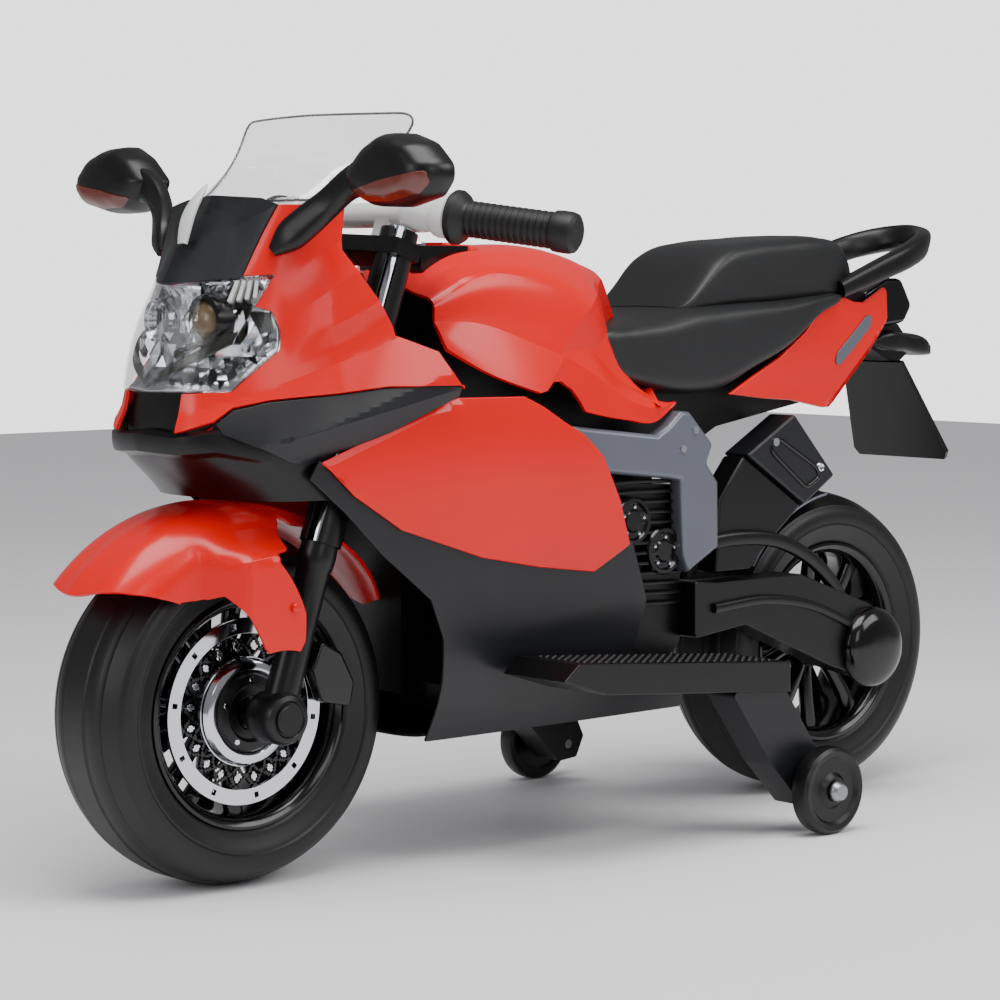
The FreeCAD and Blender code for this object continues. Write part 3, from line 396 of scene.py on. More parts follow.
def road_wheel(which, axle, body):
    """A blow-moulded tyre with a crown band, grooves, a side rib and a rolled bead, on a rim of five spoke pairs."""
    half = [(150, 0), (150, 13), (148.8, 15), (148.8, 17), (149.2, 19), (147.4, 27), (145.8, 30.5), (144.4, 32),
            (144.6, 34), (141, 41), (137.5, 46.5), (136, 47.2), (134.6, 48.8), (131, 50.6), (126, 51.8),
            (121, 51.2), (119.4, 49.6), (117.5, 49.8), (114, 48.6), (108, 45.6), (103, 44.4), (100.4, 42)]
    mesh_piece(which + "_tyre_moulding", [ring(both_halves(half, 1), axle, 160)], TYRE, 24, body,
               node=which + "_tyre")
    barrel = [(100, 42), (99.6, 43.4), (97, 44), (93.5, 42.4), (90, 38), (88.6, 30), (87, 18), (86.5, 0)]
    hub = [(6.2, 40), (20, 40), (24, 37), (25.5, 30), (29, 16), (30, 0)]
    parts = [ring(np.vstack([both_halves(barrel, 1), [(99.9, -30), (99.9, 30)]]), axle, 120),
             ring(both_halves(hub, 1), axle, 64)]
    share = np.linspace(0, 1, 12)[:, None]
    radius, out = 25 + 66 * share, 15 + 6 * share
    section = oval(1, 1, 16, 3.2)[None, :, ::-1] * np.concatenate([6 + 2.5 * share, 6.4 - 1.2 * share], 1)[:, None]
    for pair in circle(5):
        for lean in (-1, 1):
            turn = pair + lean * (0.16 + 0.13 * share)      # the two spokes of a pair spread outwards
            path = np.hstack([radius * np.cos(turn), out, radius * np.sin(turn)])
            parts += [tube(swept(path * (1, side, 1) + axle, section, (0, 1, 0))) for side in (-1, 1)]
    mesh_piece(which + "_rim_moulding", parts, GLOSS, 32, body, which + "_rim")


def front_disc():
    """A bright disc: outer band with holes, inner ring, and between them chrome dots as painted highlights among dark
    webs that cross.
    """
    radii = np.r_[np.linspace(44, 47, 3), np.linspace(49, 65, 9), np.linspace(66.5, 80, 7)]
    around, repeats = 240, 20
    inner, outer, thick = 47.5, 66, 0.085
    middle = (radii[:-1] + radii[1:])[:, None] / 2
    turn = (np.arange(around)[None] + 0.5) / around * repeats
    lean = (middle - 47) / (outer - 47) * 1.1
    between = (middle > inner) & (middle < outer)
    web = (np.abs((turn + lean) % 1 - 0.5) < thick) | (np.abs((turn - lean) % 1 - 0.5) < thick)
    # Small chrome dots among the dark webs are painted highlights, placed to stand for glints on the lattice.
    highlight_dots = np.hypot((turn % 1 - 0.5) * 18, middle - 57) < 3.2
    holes = np.hypot(((turn * 0.5 + 0.25) % 1 - 0.5) * 44, middle - 72.5) < 2.6
    plate = cells(radii, around, ((middle < inner) | (middle > outer) | highlight_dots) & ~holes, 31.5, 35.5, FRONT_AXLE)
    bevelled(mesh_piece("brake_disc_plate", [plate], CHROME, 30, "front_wheel", node="brake_disc"), 0.5, 1, 50)
    mesh_piece("brake_disc_webs", [cells(radii, around, web & between, 31.8, 35.0, FRONT_AXLE)], GLOSS, 30,
               "front_wheel")
    drum = [(35, 31), (44, 31), (46.2, 34), (46, 38.4), (43.5, 42), (40, 43.6), (36.5, 43.4), (35, 42)]
    mesh_piece("front_drum_ring", [ring(drum, FRONT_AXLE)], CHROME, 30, "front_wheel")
    cap = [(13.4, 34), (34.8, 34), (34.8, 41), (32, 45), (25, 46.2), (22, 43), (15, 43), (13.4, 41)]
    mesh_piece("front_hub_drum", [ring(cap, FRONT_AXLE, 72)], BLACK, 30, "front_wheel")
    bolt = [(0.01, 46.4), (2.2, 46.4), (2.6, 45.8), (2.6, 43), (0.01, 43)]
    mesh_piece("front_hub_bolts", round_of(bolt, FRONT_AXLE, 28.5, 5, 0.3), CHROME, 30, "front_wheel")


def wheels():
    """Both road wheels, and the front one's disc and drum."""
    road_wheel("front", FRONT_AXLE, "front_wheel")
    road_wheel("rear", REAR_AXLE, "rear_wheel")
    front_disc()


# ---------------- front end


FENDER_CENTRE = (378, 140)
FENDER_RADIUS = 187
UNROLL = 186.0       # millimetres of the flat outline for each radian about the fender's centre
CROWN, ROLL = 24.0, 40.0


def fender_skin(along, across):
    """The fender: an arc about the wheel, its section a flat crown rolled into upright sides."""
    run = np.abs(across)
    bend = np.clip((run - CROWN) / (ROLL * 1.2), 0, 1) * math.pi / 2
    y = np.sign(across) * (np.minimum(run, CROWN) * 0.985 + ROLL * 0.93 * np.sin(bend))
    drop = ROLL * 0.86 * (1 - np.cos(bend)) + np.maximum(run - CROWN - ROLL * 1.2, 0) + (run / 60) ** 2 * 1.6
    turn = along / UNROLL
    crest = 2.4 * np.exp(-(run / 9) ** 2) * np.clip((math.radians(75) - turn) * 2.2, 0, 1)
    shoulder = np.minimum(fold(along, run, (188, 60), (240, 50), 0.30, 14),
                          9 - fold(along, run, (150, 0), (188, 60), 1.0, 9))
    radius = FENDER_RADIUS + crest - drop + shoulder * 0.4
    return np.stack([FENDER_CENTRE[0] + radius * np.cos(turn), y, FENDER_CENTRE[1] + radius * np.sin(turn)], -1)


def fender():
    """The front fender: its outline is unrolled round the crown and filled; its ears stand out past the fork legs."""
    ear = np.array([(457, 252), (432, 253), (424, 256), (396, 217), (392, 213), (357, 212), (352, 219), (352, 240),
                    (379, 281), (379, 289), (366, 291), (352, 306), (348, 316)]) - FENDER_CENTRE
    # Below the roll the side is upright, so a millimetre nearer the centre is one more of run across.
    side = np.stack([np.arctan2(ear[:, 1], ear[:, 0]) * UNROLL, 223 - np.hypot(ear[:, 0], ear[:, 1])], -1)
    to_flat = (math.radians(1) * UNROLL, 1)
    nose_edge = np.multiply([(38.6, 0), (38.9, 8), (40, 22), (42, 38), (45, 54), (50, 72), (55, 88)], to_flat)
    rear_edge = np.multiply([(104, 52), (122, 44), (138, 34), (150, 24), (152, 0)], to_flat)
    rib = np.multiply([(58, 60), (74, 50), (98, 46)], to_flat)
    along, across, faces = fill(both_halves(np.vstack([nose_edge, side, rear_edge]), 1), 4.5,
                                [rib, rib * (1, -1)])
    points = fender_skin(along, across)
    x, y, z = points.T
    share = np.clip((308 - z) / 24, 0, 1) * np.clip((440 - x) / 34, 0, 1) * np.clip((x - 335) / 14, 0, 1)
    stand_out = 35
    points[:, 1] = y + np.sign(y) * stand_out * share ** 2 * (3 - 2 * share)
    sheet("front_fender_skin", [(points, faces)], 3.2, RED, (0, 0, 1), False, 0.9, 16, STEER, "front_fender")
    screw = [(0.01, 100.2), (3.2, 99.8), (4.0, 98.8), (4.0, 96), (0.01, 96)]
    mesh_piece("fender_screws", [ring(np.multiply(screw, (1, side)), (365, 0, 243), 16) for side in (-1, 1)],
               RED, 30, STEER)


def fork():
    """Fork legs: slim black sliders with an axle boss, and black shrouds whose narrow slit shows a strip of bright
    stanchion as a painted highlight.
    """
    for side, label in SIDES:
        foot = raked(FORK_SPREAD * side, 0, 0)
        slider = [(6, -18), (11.5, -16), (14, -10), (14.6, 0), (14.6, 40), (14.2, 90), (14.4, 128), (15.8, 131),
                  (16.2, 140), (15.8, 150), (12.6, 151)]
        boss = [(0.01, 63), (21, 63), (22.4, 67), (22.4, 91), (20, 96), (16, 97.6), (14.5, 96.2), (13, 96.2),
                (11, 98.4), (0.01, 98.6)]
        mesh_piece("fork_slider_" + label, [turned(slider, foot, FORK_UP, FORK_AHEAD),
                                            ring(np.multiply(boss, (1, side)), FRONT_AXLE, 48)], BLACK, 32, STEER,
                   node="fork_leg_" + label)
        rod = [(11.6, 148), (11.6, 300), (11.6, 430), (9.8, 432)]
        mesh_piece("fork_stanchion_" + label, [turned(rod, foot, FORK_UP, FORK_AHEAD)], CHROME, 32, STEER)
        # The shroud wraps the chrome stanchion except for a narrow slit; the bright strip it leaves is a painted
        # highlight down the fork tube.
        height = np.linspace(150, 428, 28)[:, None]
        highlight_slit, half_highlight_slit = np.interp(height, (150, 300, 428), (2.0, 2.3, 2.47)), 0.30      # angles round the leg
        wrap = highlight_slit + np.linspace(half_highlight_slit, TURN - half_highlight_slit, 36)[None]
        wide = 15.0 + 0.8 * np.cos((height - 150) / 280 * math.pi)
        face = raked(side * (FORK_SPREAD - wide * np.cos(wrap)), wide * np.sin(wrap), height)
        sheet("fork_shroud_" + label, [(face, quads(*face.shape[:2]))], 2.2, BLACK, (1, 0, 0.3), False, 0.5,
              body=STEER)


def handlebar():
    """A white bar with a tee at the stem, stepped collars, ribbed grips with flanges, and stepped end caps."""
    refined("handlebar", WHITE, 1.0, STEER)
    sweep = math.radians(24)
    collar = [(11.3, -26), (15.4, -25), (15.8, -22), (15.8, 2), (18.2, 3), (19.4, 7), (19.4, 15), (18, 16.6),
              (11.3, 16.8)]
    ribs = [(15.2 + 0.5 * (k % 2), 32 + 3.0 * k + step) for k in range(27) for step in (0.4, 2.6)]
    sleeve = ([(11.2, 17), (22, 18), (23.4, 20), (23.4, 24), (21, 28), (16, 31)] + ribs
              + [(15.4, 113), (17.4, 114.5), (17.8, 118), (17.8, 128), (16.6, 132), (13, 134.4), (0.01, 134.6)])
    for side, label in SIDES:
        line = raked(104 * side, -12, 447), side * math.cos(sweep) * SIDEWAYS - math.sin(sweep) * FORK_AHEAD
        mesh_piece("grip_sleeve_" + label, [turned(sleeve, *line, FORK_UP, 48)], RUBBER, 30, STEER,
                   node="grip_" + label)
        mesh_piece("bar_collar_" + label, [turned(collar, *line, FORK_UP, 48)], WHITE, 30, STEER)


# ---------------- nose


NOSE_LEVELS = (330, 372, 423, 475, 520, 586)
NOSE_HALVES = [[(404, 0), (398, 50), (376, 86), (312, 106), (212, 114)],
               [(443, 0), (436, 52), (392, 90), (318, 110), (212, 118)],
               [(445, 0), (433, 50), (386, 88), (310, 108), (212, 118)],
               [(434, 0), (418, 50), (370, 86), (285, 108), (212, 114)],
               [(416, 0), (396, 50), (372, 80), (292, 103), (212, 106)],
               [(378, 0), (370, 48), (352, 86), (300, 97), (212, 100)]]
NOSE_ROUND = (-289, -190, -112, -52, 0, 52, 112, 190, 289)
NOSE = skin([both_halves(half[::-1], 1)[::-1] for half in NOSE_HALVES], NOSE_LEVELS, NOSE_ROUND)

# Creases of the nose in the side view: start, end, slope beyond it, and how far the slope goes on.
FLARE = ((372, 430), (262, 470), 0.32, 44)
SHELF = ((375, 507), (311, 551), 0.40, 26)
STEP = ((334, 475), (280, 502), 0.30, 16)
LENS_EDGE = [(411, 423), (373, 457), (371, 473), (376, 489), (387.5, 493), (371.5, 519), (392, 518)]
NOSE_RED = LENS_EDGE + [(364, 577), (311, 577), (316, 540), (288, 498), (272, 468), (234, 454), (150, 422),
                        (206, 425), (287, 426), (334, 421), (386, 416), (412, 410), (425, 399), (441, 391)]


def nose_skin(run, z, lift=0.0):
    """The nose: half sections at six levels joined by cubics; lift moves it out along its own normal."""
    run, z = np.broadcast_arrays(run, z)
    ahead = NOSE(z, run + 1.0) - NOSE(z, run - 1.0)
    normal = np.stack([ahead[..., 1], -ahead[..., 0]], -1)
    normal /= np.linalg.norm(normal, axis=-1, keepdims=True)
    return np.concatenate([NOSE(z, run) + normal * np.asarray(lift)[..., None], z[..., None]], -1)


def round_nose(outline):
    """Side-view points (x, z) as the nose's own (run round the section, z)."""
    run = np.linspace(0, NOSE_ROUND[-1], 400)
    return [(float(np.interp(-x, -NOSE(z, run)[:, 0], run)), z) for x, z in outline]


def ridge(start, end, _, limit):
    """The side-view lines on which a fold starts and stops rising."""
    run = np.subtract(end, start)
    side = np.array([-run[1], run[0]]) / np.linalg.norm(run) * limit
    return [round_nose([start, end]), round_nose([np.add(start, side), np.add(end, side)])]


def nose():
    """The red fairing: a shelf under its upper crease, a step under the next, a flare under the lowest."""
    outline = [(40, 421)] + round_nose(NOSE_RED) + [(40, 389)]
    run, z, faces = fill(outline, 5.0, ridge(*FLARE) + ridge(*SHELF) + ridge(*STEP))
    x = NOSE(z, run)[..., 0]
    aft = np.clip((370 - x) / 40, 0, 1)
    relief = fold(x, z, *FLARE) + (fold(x, z, *SHELF) - fold(x, z, *STEP)) * aft
    sheet("nose_fairing_skin", [(nose_skin(run, z, relief), faces)], 3.4, RED, (0.3, 1, 0), True, 1.0, 9,
          node="nose_fairing")


def cowl():
    """The dark cowl over the lamp: a prow with a middle crease, and an upper facet that leans back."""
    half = [(0, 511)] + round_nose([(391.4, 517), (363.4, 577.5)]) + [(60, 583), (0, 586)]
    crease = np.array([(6, 545), (90, 577)])
    run, z, faces = fill(both_halves(half, 0), 4.5, [crease, crease * (-1, 1), [(0, 508), (0, 545)],
                                                     [(6, 545), (-6, 545)]])
    across = np.abs(run)
    lift = 1.6 + 0.16 * np.clip(44 - across, 0, 44) - fold(across, z, *crease, 0.42, 24)
    sheet("dash_cowl_skin", [(nose_skin(run, z, lift), faces)], 3.4, DARK, (1, 0, 0.4), False, 0.9, 7,
          node="dash_cowl")


def strip(corners, depth, count=14):
    """A four-cornered patch of the nose's own (run, z), straight between its corners, at a depth."""
    u, v = np.meshgrid(np.linspace(0, 1, count), np.linspace(0, 1, 4), indexing="ij")
    first, second, third, fourth = np.array(corners, float)[:, None, None]
    where = (first + (second - first) * u[..., None]) * (1 - v[..., None]) \
        + (fourth + (third - fourth) * u[..., None]) * v[..., None]
    return nose_skin(where[..., 0], where[..., 1], depth + 0 * u), quads(count, 4)


def lamp():
    """Headlamp: a clear bowed lens over a bright bowl of flat facets, with a projector, fins and dark bars."""
    middle = 466
    outline = both_halves([(0, 421.5)] + round_nose(LENS_EDGE) + [(0, 510)], 0)
    run, z, faces = fill(outline, 5.0)
    bow = 3.0 * np.clip(np.cos((z - middle) / 62 * math.pi / 2), 0, 1)
    sheet("headlight_lens_skin", [(nose_skin(run, z, bow), faces)], 1.6, CLEAR, (1, 0, 0.3), False, 0, 40,
          node="headlight_lens")
    inner = (outline - (0, middle)) * (0.985, 0.97) + (0, middle)
    run, z, faces = fill(inner, 9.5)
    edge_gap = gap(np.stack([run, z], -1), dense(inner, 3))
    # A fixed scatter from -0.5 to 0.5: the fraction of a large sine.
    scatter = np.modf(np.abs(np.sin(run * 12.9898 + z * 78.233)) * 43758.5453)[0] - 0.5
    depth = -2.5 - 17 * np.clip(edge_gap / 16, 0, 1) + 9 * scatter * np.clip(edge_gap / 9, 0, 1)
    sheet("headlight_bowl", [(nose_skin(run, z, depth), faces)], 1.2, CHROME, (1, 0, 0.3), False, 0, 1,
          node="headlight_reflector")
    # Where the projector and the plain beam sit, behind the lens.
    projector, beam = nose_skin(np.array([42.0, -34.0]), 480.0, np.array([-13.0, -12.0]))
    glass = [(0.01, 9), (8, 8), (14, 4.5), (17.6, -2), (18, -10), (0.01, -10)]
    mesh_piece("lamp_projector", [ring(glass, projector, 40, "x")], OLIVE, 40)
    shade = [(18.2, -12), (18.2, 1), (19.4, 4), (22.4, 3), (23.6, -12)]
    mesh_piece("lamp_projector_ring", [ring(shade, projector, 48, "x")], GLOSS, 30)
    mesh_piece("lamp_beam_rings", [ring([(13 + 2 * k, -8 + 3 * k), (14.6 + 2 * k, -5 + 3 * k),
                                         (16 + 2 * k, -8 + 3 * k)], beam, 48, "x") for k in range(3)], CHROME, 30)
    brows = [strip([(10, 429), (76, 462), (78, 473), (14, 440)], -1.5),
             strip([(24, 450), (60, 466), (58, 471), (22, 456)], -4.0)]
    fins = [strip([(60 + 9 * k, 497 + k), (64.5 + 9 * k, 497 + k), (66 + 9 * k, 514), (61 + 9 * k, 514)], -1.2, 3)
            for k in range(4)]
    shades = [strip([(96, 470), (106, 473), (104, 488), (84, 489)], -1.0, 6),
              strip([(56, 492), (84, 492), (58, 512), (56, 512)], -7.0, 6)]
    sheet("lamp_brow_bars", brows, 4, OLIVE_DARK, (1, 0.5, 0), True, 0.6)
    sheet("lamp_fins", fins, 6, WHITE, (1, 0.5, 0), True, 0.4)
    sheet("lamp_corner_shades", shades, 3, GLOSS, (1, 0.5, 0), True, 0.4)


def chin():
    """The dark mouth under the lamp, a lip that stands forward below it, and a shroud that falls back under that."""
    run, z = np.linspace(-42, 42, 30)[:, None], np.linspace(384, 422, 14)[None]
    inset = nose_skin(run, z, -7 - 3 * np.cos(run / 42 * math.pi / 2) + 0 * z)
    sheet("mouth_panel", [(inset, quads(30, 14))], 2.5, BLACK, (1, 0, 0), False, 0.5)
    run, share = np.linspace(-240, 240, 150)[:, None], np.linspace(0, 1, 41)[None]
    top = np.interp(np.abs(run), (0, 40, 74, 100, 150, 240), (391, 388, 392, 384, 366, 352))
    z = top + (331 - top) * share
    reach = np.clip(1 - np.abs(run) / 118, 0, 1) ** 0.8
    lip = 15 * reach * np.interp(share, (0, 0.05, 0.30, 0.36, 1), (-0.25, 0.85, 1.0, 0.05, -0.55)) - 3.0
    sheet("chin_moulding", [(nose_skin(run, z, lip), quads(150, 41))], 3.0, BLACK, (1, 0, 0), False, 0.8, 20,
          node="chin_intake")


def trims():
    """Dark inlet wedges: the upper facet rises to a crease and the lower one falls in beneath it."""
    outline = round_nose([(424, 397), (412, 408), (386, 414.5), (334, 419.5), (287, 424.5), (229, 427), (208, 423),
                          (197, 415), (280, 386), (330, 370), (355, 361), (372, 364), (394, 376), (420, 389)])
    run, z, faces = fill(outline, 4.0, [round_nose([(388, 397), (372, 385), (229, 419), (204, 421)])])
    x = NOSE(z, run)[..., 0]
    lift = 2.0 + fold(x, z, *FLARE) - fold(x, z, (372, 385), (229, 419), 0.62, 30)
    sheet("inlet_trim_skin", [(nose_skin(run, z, lift), faces)], 3.0, DARK, (0.2, 1, 0), True, 0.8, 8,
          node="inlet_trims")


def bowed(u, v):
    """The screen's sheet: it leans back with v and bows backwards as the square of u, its share of the width."""
    front = 379 - 103 * v - 9 * np.sin(np.clip(v, 0, 1) * math.pi)
    return np.stack([front - (57 - 31 * v) * u ** 2, u * (98 + 20 * v), 577.5 + 77.0 * v], -1)


def screen():
    """The clear screen with rounded upper corners, a grey edge line of painted shade, and a frosted tab at its foot.
    """
    size = np.array([100, 128])
    corner = np.linspace(0, math.pi / 2, 7)
    half = np.vstack([[(0, 0.04), (0.55, 0.035), (0.93, 0.05), (1.0, 0.18), (1.03, 0.5)],
                      np.stack([0.88 + 0.14 * np.cos(corner), 0.84 + 0.16 * np.sin(corner)], -1), [(0, 1.015)]])
    outline = both_halves(half, 0) * size
    first, second, faces = fill(outline, 6.0)
    sheet("windscreen_sheet", [(bowed(first / size[0], second / size[1]), faces)], 2.4, CLEAR, (1, 0, 1), False, 0,
          40, node="windscreen")
    rim = bowed(*(smooth_loop(outline, 180, 1) / size).T)
    rings = swept(np.vstack([rim[-1:], rim, rim[:1]]), oval(1.1, 1.1, 8), (0.6, 0, 0.8))[1:-1]
    # A grey tube along the screen's outline: painted shade where the clear sheet's cut edge looks dark.
    mesh_piece("windscreen_edge", [tube(rings, True)], EDGE_SHADE, 60)
    u, v = np.meshgrid(np.linspace(-1, 1, 12), np.linspace(0, 1, 24), indexing="ij")
    width = 8.5 * np.sin(np.clip(v * 0.8 + 0.2, 0, 1) * math.pi) ** 0.6
    rise = 3.5 + 5 * np.sin(v * math.pi) - 1.5 * u ** 2
    tab = np.stack([415 - 33 * v + rise, 12 + u * width - 8 * v, 543 + 50 * v + rise * 0.7], -1)
    sheet("screen_tab", [(tab, quads(12, 24))], 2.5, FROSTED, (1, 0, 0.7), False)


def mirrors():
    """Mirror heads: an angular outline shrunk in steps to a flat front, on a thick stem that flows into it."""
    loop = smooth_loop([(136, 601), (160, 622), (184, 633), (206, 632), (232, 624), (252, 606), (252, 594),
                        (240, 581), (203, 573), (170, 574), (146, 584)], 88, 2)
    middle = np.array([200.0, 602.0])

    def shrunk(steps):
        """The outline at each step's x, scaled about its middle by the step's size."""
        x, size = np.array(steps).T[:, :, None, None]
        place = middle + (loop - middle) * size
        return tube(np.concatenate([np.broadcast_to(x, place.shape[:2] + (1,)), place], -1))
    steps = np.array([(326, 0.95), (322.5, 0.985), (324, 1.0), (333, 1.0), (341, 0.965), (348, 0.89), (354, 0.76),
                      (357, 0.58), (358, 0.3)])
    foot = [(374, 80, 538), (366, 90, 549), (356, 102, 562), (346, 118, 577), (340, 138, 592), (339, 164, 600)]
    sizes = ((3, 5), (7.5, 13), (8.5, 14), (8, 12.5), (8.5, 13), (9, 17))
    head = [shrunk(steps), bar(foot, [oval(a, b, 28, 2.8) for a, b in sizes], (0, -0.45, 0.9), 30)]
    glass = [shrunk([(322.2, 0.90), (321.4, 0.88)])]
    for name, parts, finish, angle, slot, node in (
            ("mirror_housings", head, BLACK, 40, "gloss_black", "mirrors"),
            ("mirror_glasses", glass, CHROME, 30, "chrome", None)):
        both = parts + [(mirrored(points), faces) for points, faces in parts]
        mesh_piece(name, both, finish, angle, BODY, node)
    under = smooth_loop([(158, 586), (198, 594), (247, 601), (247, 592), (237, 583), (203, 577), (172, 578)], 80, 1)
    y, z, faces = fill(under, 3.0)
    angle = np.arctan2(loop[:, 1] - middle[1], loop[:, 0] - middle[0])
    order = np.argsort(angle)
    far = np.interp(np.arctan2(z - middle[1], y - middle[0]), angle[order],
                    np.linalg.norm(loop - middle, axis=1)[order], period=TURN)
    share = np.hypot(y - middle[0], z - middle[1]) / far
    front = np.interp(share, steps[:1:-1, 1], steps[:1:-1, 0]) + 1.4
    sheet("mirror_repeaters", [(np.stack([front, y, z], -1), faces)], 2.4, AMBER, (1, 0, 0), True, 0.5)


# ---------------- tank and seat


TANK_STATIONS = (-92, -60, -20, 20, 100, 168, 212)
TANK_HALVES = [[(0, 468), (14, 462), (24, 420), (78, 404), (84, 399)],
               [(0, 512), (28, 502), (46, 440), (84, 414), (90, 383)],
               [(0, 530), (40, 524), (66, 492), (87, 427), (94, 386)],
               [(0, 540), (45, 536), (74, 512), (92, 450), (98, 392)],
               [(0, 545), (50, 543), (80, 528), (96, 470), (104, 412)],
               [(0, 536), (52, 534), (82, 518), (93, 480), (99, 434)],
               [(0, 508), (48, 506), (80, 496), (88, 476), (92, 456)]]
TANK_ROUND = (-190, -140, -80, -45, 0, 45, 80, 140, 190)
TANK = skin([both_halves(half[::-1], 0)[::-1] for half in TANK_HALVES], TANK_STATIONS, TANK_ROUND)


def tank():
    """The tank cover: half sections joined by cubics, with a leaned top, a knee hollow and a flared lower flank."""
    half = [(-92, 0), (-92, 190), (38, 190), (44, 184), (55, 177), (70, 174), (84, 177), (95, 186), (105, 190),
            (206, 190), (206, 0)]
    shoulder = [(206, 80), (176, 82), (105, 95), (40, 92)]
    knee = [(-60, 28), (10, 97), (68, 154), (-90, 174.5)]
    basin = [(-60, 64), (12, 135), (-90, 148)]
    basin_corner = [(68, 154), (12, 135)]
    flank = [(62, 154.6), (204, 139.5)]
    flank_corner = [(62, 154.6), (100, 189)]
    creases = [np.multiply(line, (1, side)) for line in (shoulder, knee, basin, basin_corner, flank, flank_corner)
               for side in (1, -1)]
    x, run, faces = fill(both_halves(half, 1), 5.0, creases)
    across = np.abs(run)
    section = TANK(x, run)
    ahead = TANK(x, run + 1) - TANK(x, run - 1)
    normal = np.stack([-ahead[:, 1], ahead[:, 0]], -1)
    normal /= np.maximum(np.linalg.norm(normal, axis=-1, keepdims=True), 1e-6)
    hollow = 0.36 * np.minimum(fold(x, across, (10, 97), (68, 154), 1, 26),
                               fold(x, across, (68, 154), (-40, 168), 1, 26))
    flare = 0.25 * np.minimum(fold(x, across, (62, 154.6), (208, 139), 1, 60), np.clip(x - 62, 0, 60))
    lean = fold(x, across, (212, 80), (105, 95), 0.16, 26) * np.clip((across - 20) / 40, 0, 1)
    # A recess under the control panel for its buttons' travel, with walls that slope over a few millimetres.
    low, high = np.array(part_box("control_panel")) / MM
    beyond = np.maximum.reduce([low[0] - x, x - high[0], np.abs(section[:, 0]) - high[1], 0 * x])
    deep, margin, slope = 9, 2, 5
    recess = deep * np.clip(1 - (beyond - margin) / slope, 0, 1)
    points = np.column_stack([x, section + normal * (flare - hollow - lean - recess)[:, None]])
    sheet("tank_cover_skin", [(points, faces)], 3.4, RED, (0, 0, 1), False, 1.2, 9, node="tank_cover")
    rim = TANK(np.full(60, 205.0), np.linspace(-188, 188, 60)) * (0.96, 1.0) - (0, 2)
    y, z, faces = fill(np.vstack([rim, [(78, 440), (-78, 440)]]), 8.0)
    sheet("tank_front_panel", [(np.stack([203 + 0 * y, y, z], -1), faces)], 3, BLACK, (1, 0, 0), False)


def loaf(stations, power, count=60, around=64):
    """A padded block: rounded-box sections at stations (x, half width, low, high) joined by cubics."""
    table = np.array(stations, float)[::-1]
    x = np.linspace(table[0, 0], table[-1, 0], count)
    wide, low, high = cubic(table[:, 1:], table[:, 0], x).T[:, :, None]
    shape = oval(1, 1, around, power)
    y = wide * shape[:, 0]
    z = (low + high) / 2 + (high - low) / 2 * shape[:, 1]
    crown = 1.5 * (1 - (y / np.maximum(wide, 1)) ** 2) * (shape[:, 1] > 0)
    return tube(np.stack([np.broadcast_to(x[:, None], y.shape), y, z + crown], -1))


def seat():
    """The rider's pad runs back under the pillion block, which rises behind it with a sloped front."""
    pad = loaf([(-6, 62, 432, 462), (-14, 68, 428, 466), (-50, 75, 416, 472), (-91, 80, 407, 478),
                (-127, 82, 405, 486), (-161, 82, 408, 489), (-200, 82, 424, 491), (-255, 80, 447, 493),
                (-307, 74, 480, 497), (-338, 66, 490, 499), (-346, 60, 493, 498)], 7.0)
    block = loaf([(-126, 54, 482, 487), (-132, 59, 482, 493), (-150, 62, 484, 511), (-172, 64, 484, 533),
                  (-190, 64, 485, 543), (-220, 64, 486, 549), (-264, 63, 488, 552.5), (-330, 59, 492, 554),
                  (-352, 55, 494, 550), (-366, 50, 497, 539), (-376, 45, 500, 522), (-379, 42, 503, 512)], 6.5)
    mesh_piece("seat_moulding", [pad, block], SEAT, 42, node="seat")


# ---------------- flanks


# The half width at each station (rows) and level (columns).
HULL = skin(np.array([[84, 90, 100, 104, 104, 100], [88, 95, 106, 115, 118, 112],
                      [86, 94, 106, 115, 118, 112], [72, 80, 96, 105, 105, 98]])[..., None],
            (-115, 90, 230, 370), (112, 128, 200, 300, 395, 440))


def hull_skin(x, z, lift):
    """The flank: half width as a cubic surface over the side view."""
    return np.stack([x, HULL(x, z)[..., 0] + lift, z], -1)


def flanks():
    """Red side panels with a leaned-in upper front edge, over the dark belly fairing and its floor."""
    panel = [(348, 364), (316, 334), (267, 303), (178, 274), (110, 261), (41, 252), (-5, 274), (10, 315), (35, 357),
             (60, 377), (84, 389), (110, 404), (131, 413), (206, 414), (233, 407), (289, 386)]
    lower = [(340, 354), (262, 312), (176, 284), (44, 262), (4, 279)]
    upper = [(336, 362), (236, 400), (206, 405)]
    x, z, faces = fill(panel, 6.0, [upper, lower])
    points = hull_skin(x, z, 4.5 - fold(x, z, (236, 400), (336, 362), 0.55, 12))
    for side, label in SIDES:
        sheet("side_panel_skin_" + label, [(points * (1, side, 1), faces)], 3.4, RED, (0, side, 0), False, 1.6, 12,
              node="side_panel_" + label)
    belly = [(358, 350), (348.5, 366), (316.5, 338), (267.5, 308), (178.5, 280), (41, 258), (-12, 276), (-35, 221),
             (-27, 172), (-60, 149), (-104, 124), (-104, 112), (212, 112), (209, 169), (212, 204), (229, 240),
             (284, 283), (321, 319)]
    x, z, faces = fill(belly, 7.0, [[(-24, 226), (60, 206), (209, 190)]])
    points = hull_skin(x, z, 0.5 - fold(x, z, (209, 190), (-24, 226), 0.10, 60))
    sheet("belly_fairing_skin", [(points, faces)], 3.2, DARK, (0, 1, 0), True, 1.2, 8, node="belly_fairing")
    x, share = np.meshgrid(np.linspace(-104, 212, 40), np.linspace(-1, 1, 24), indexing="ij")
    floor = np.stack([x, share * (HULL(x, 112.0)[..., 0] - 7.5), 113 + 4 * share ** 4], -1)
    sheet("belly_floor", [(floor, quads(40, 24))], 3.0, DARK, (0, 0, -1), False)


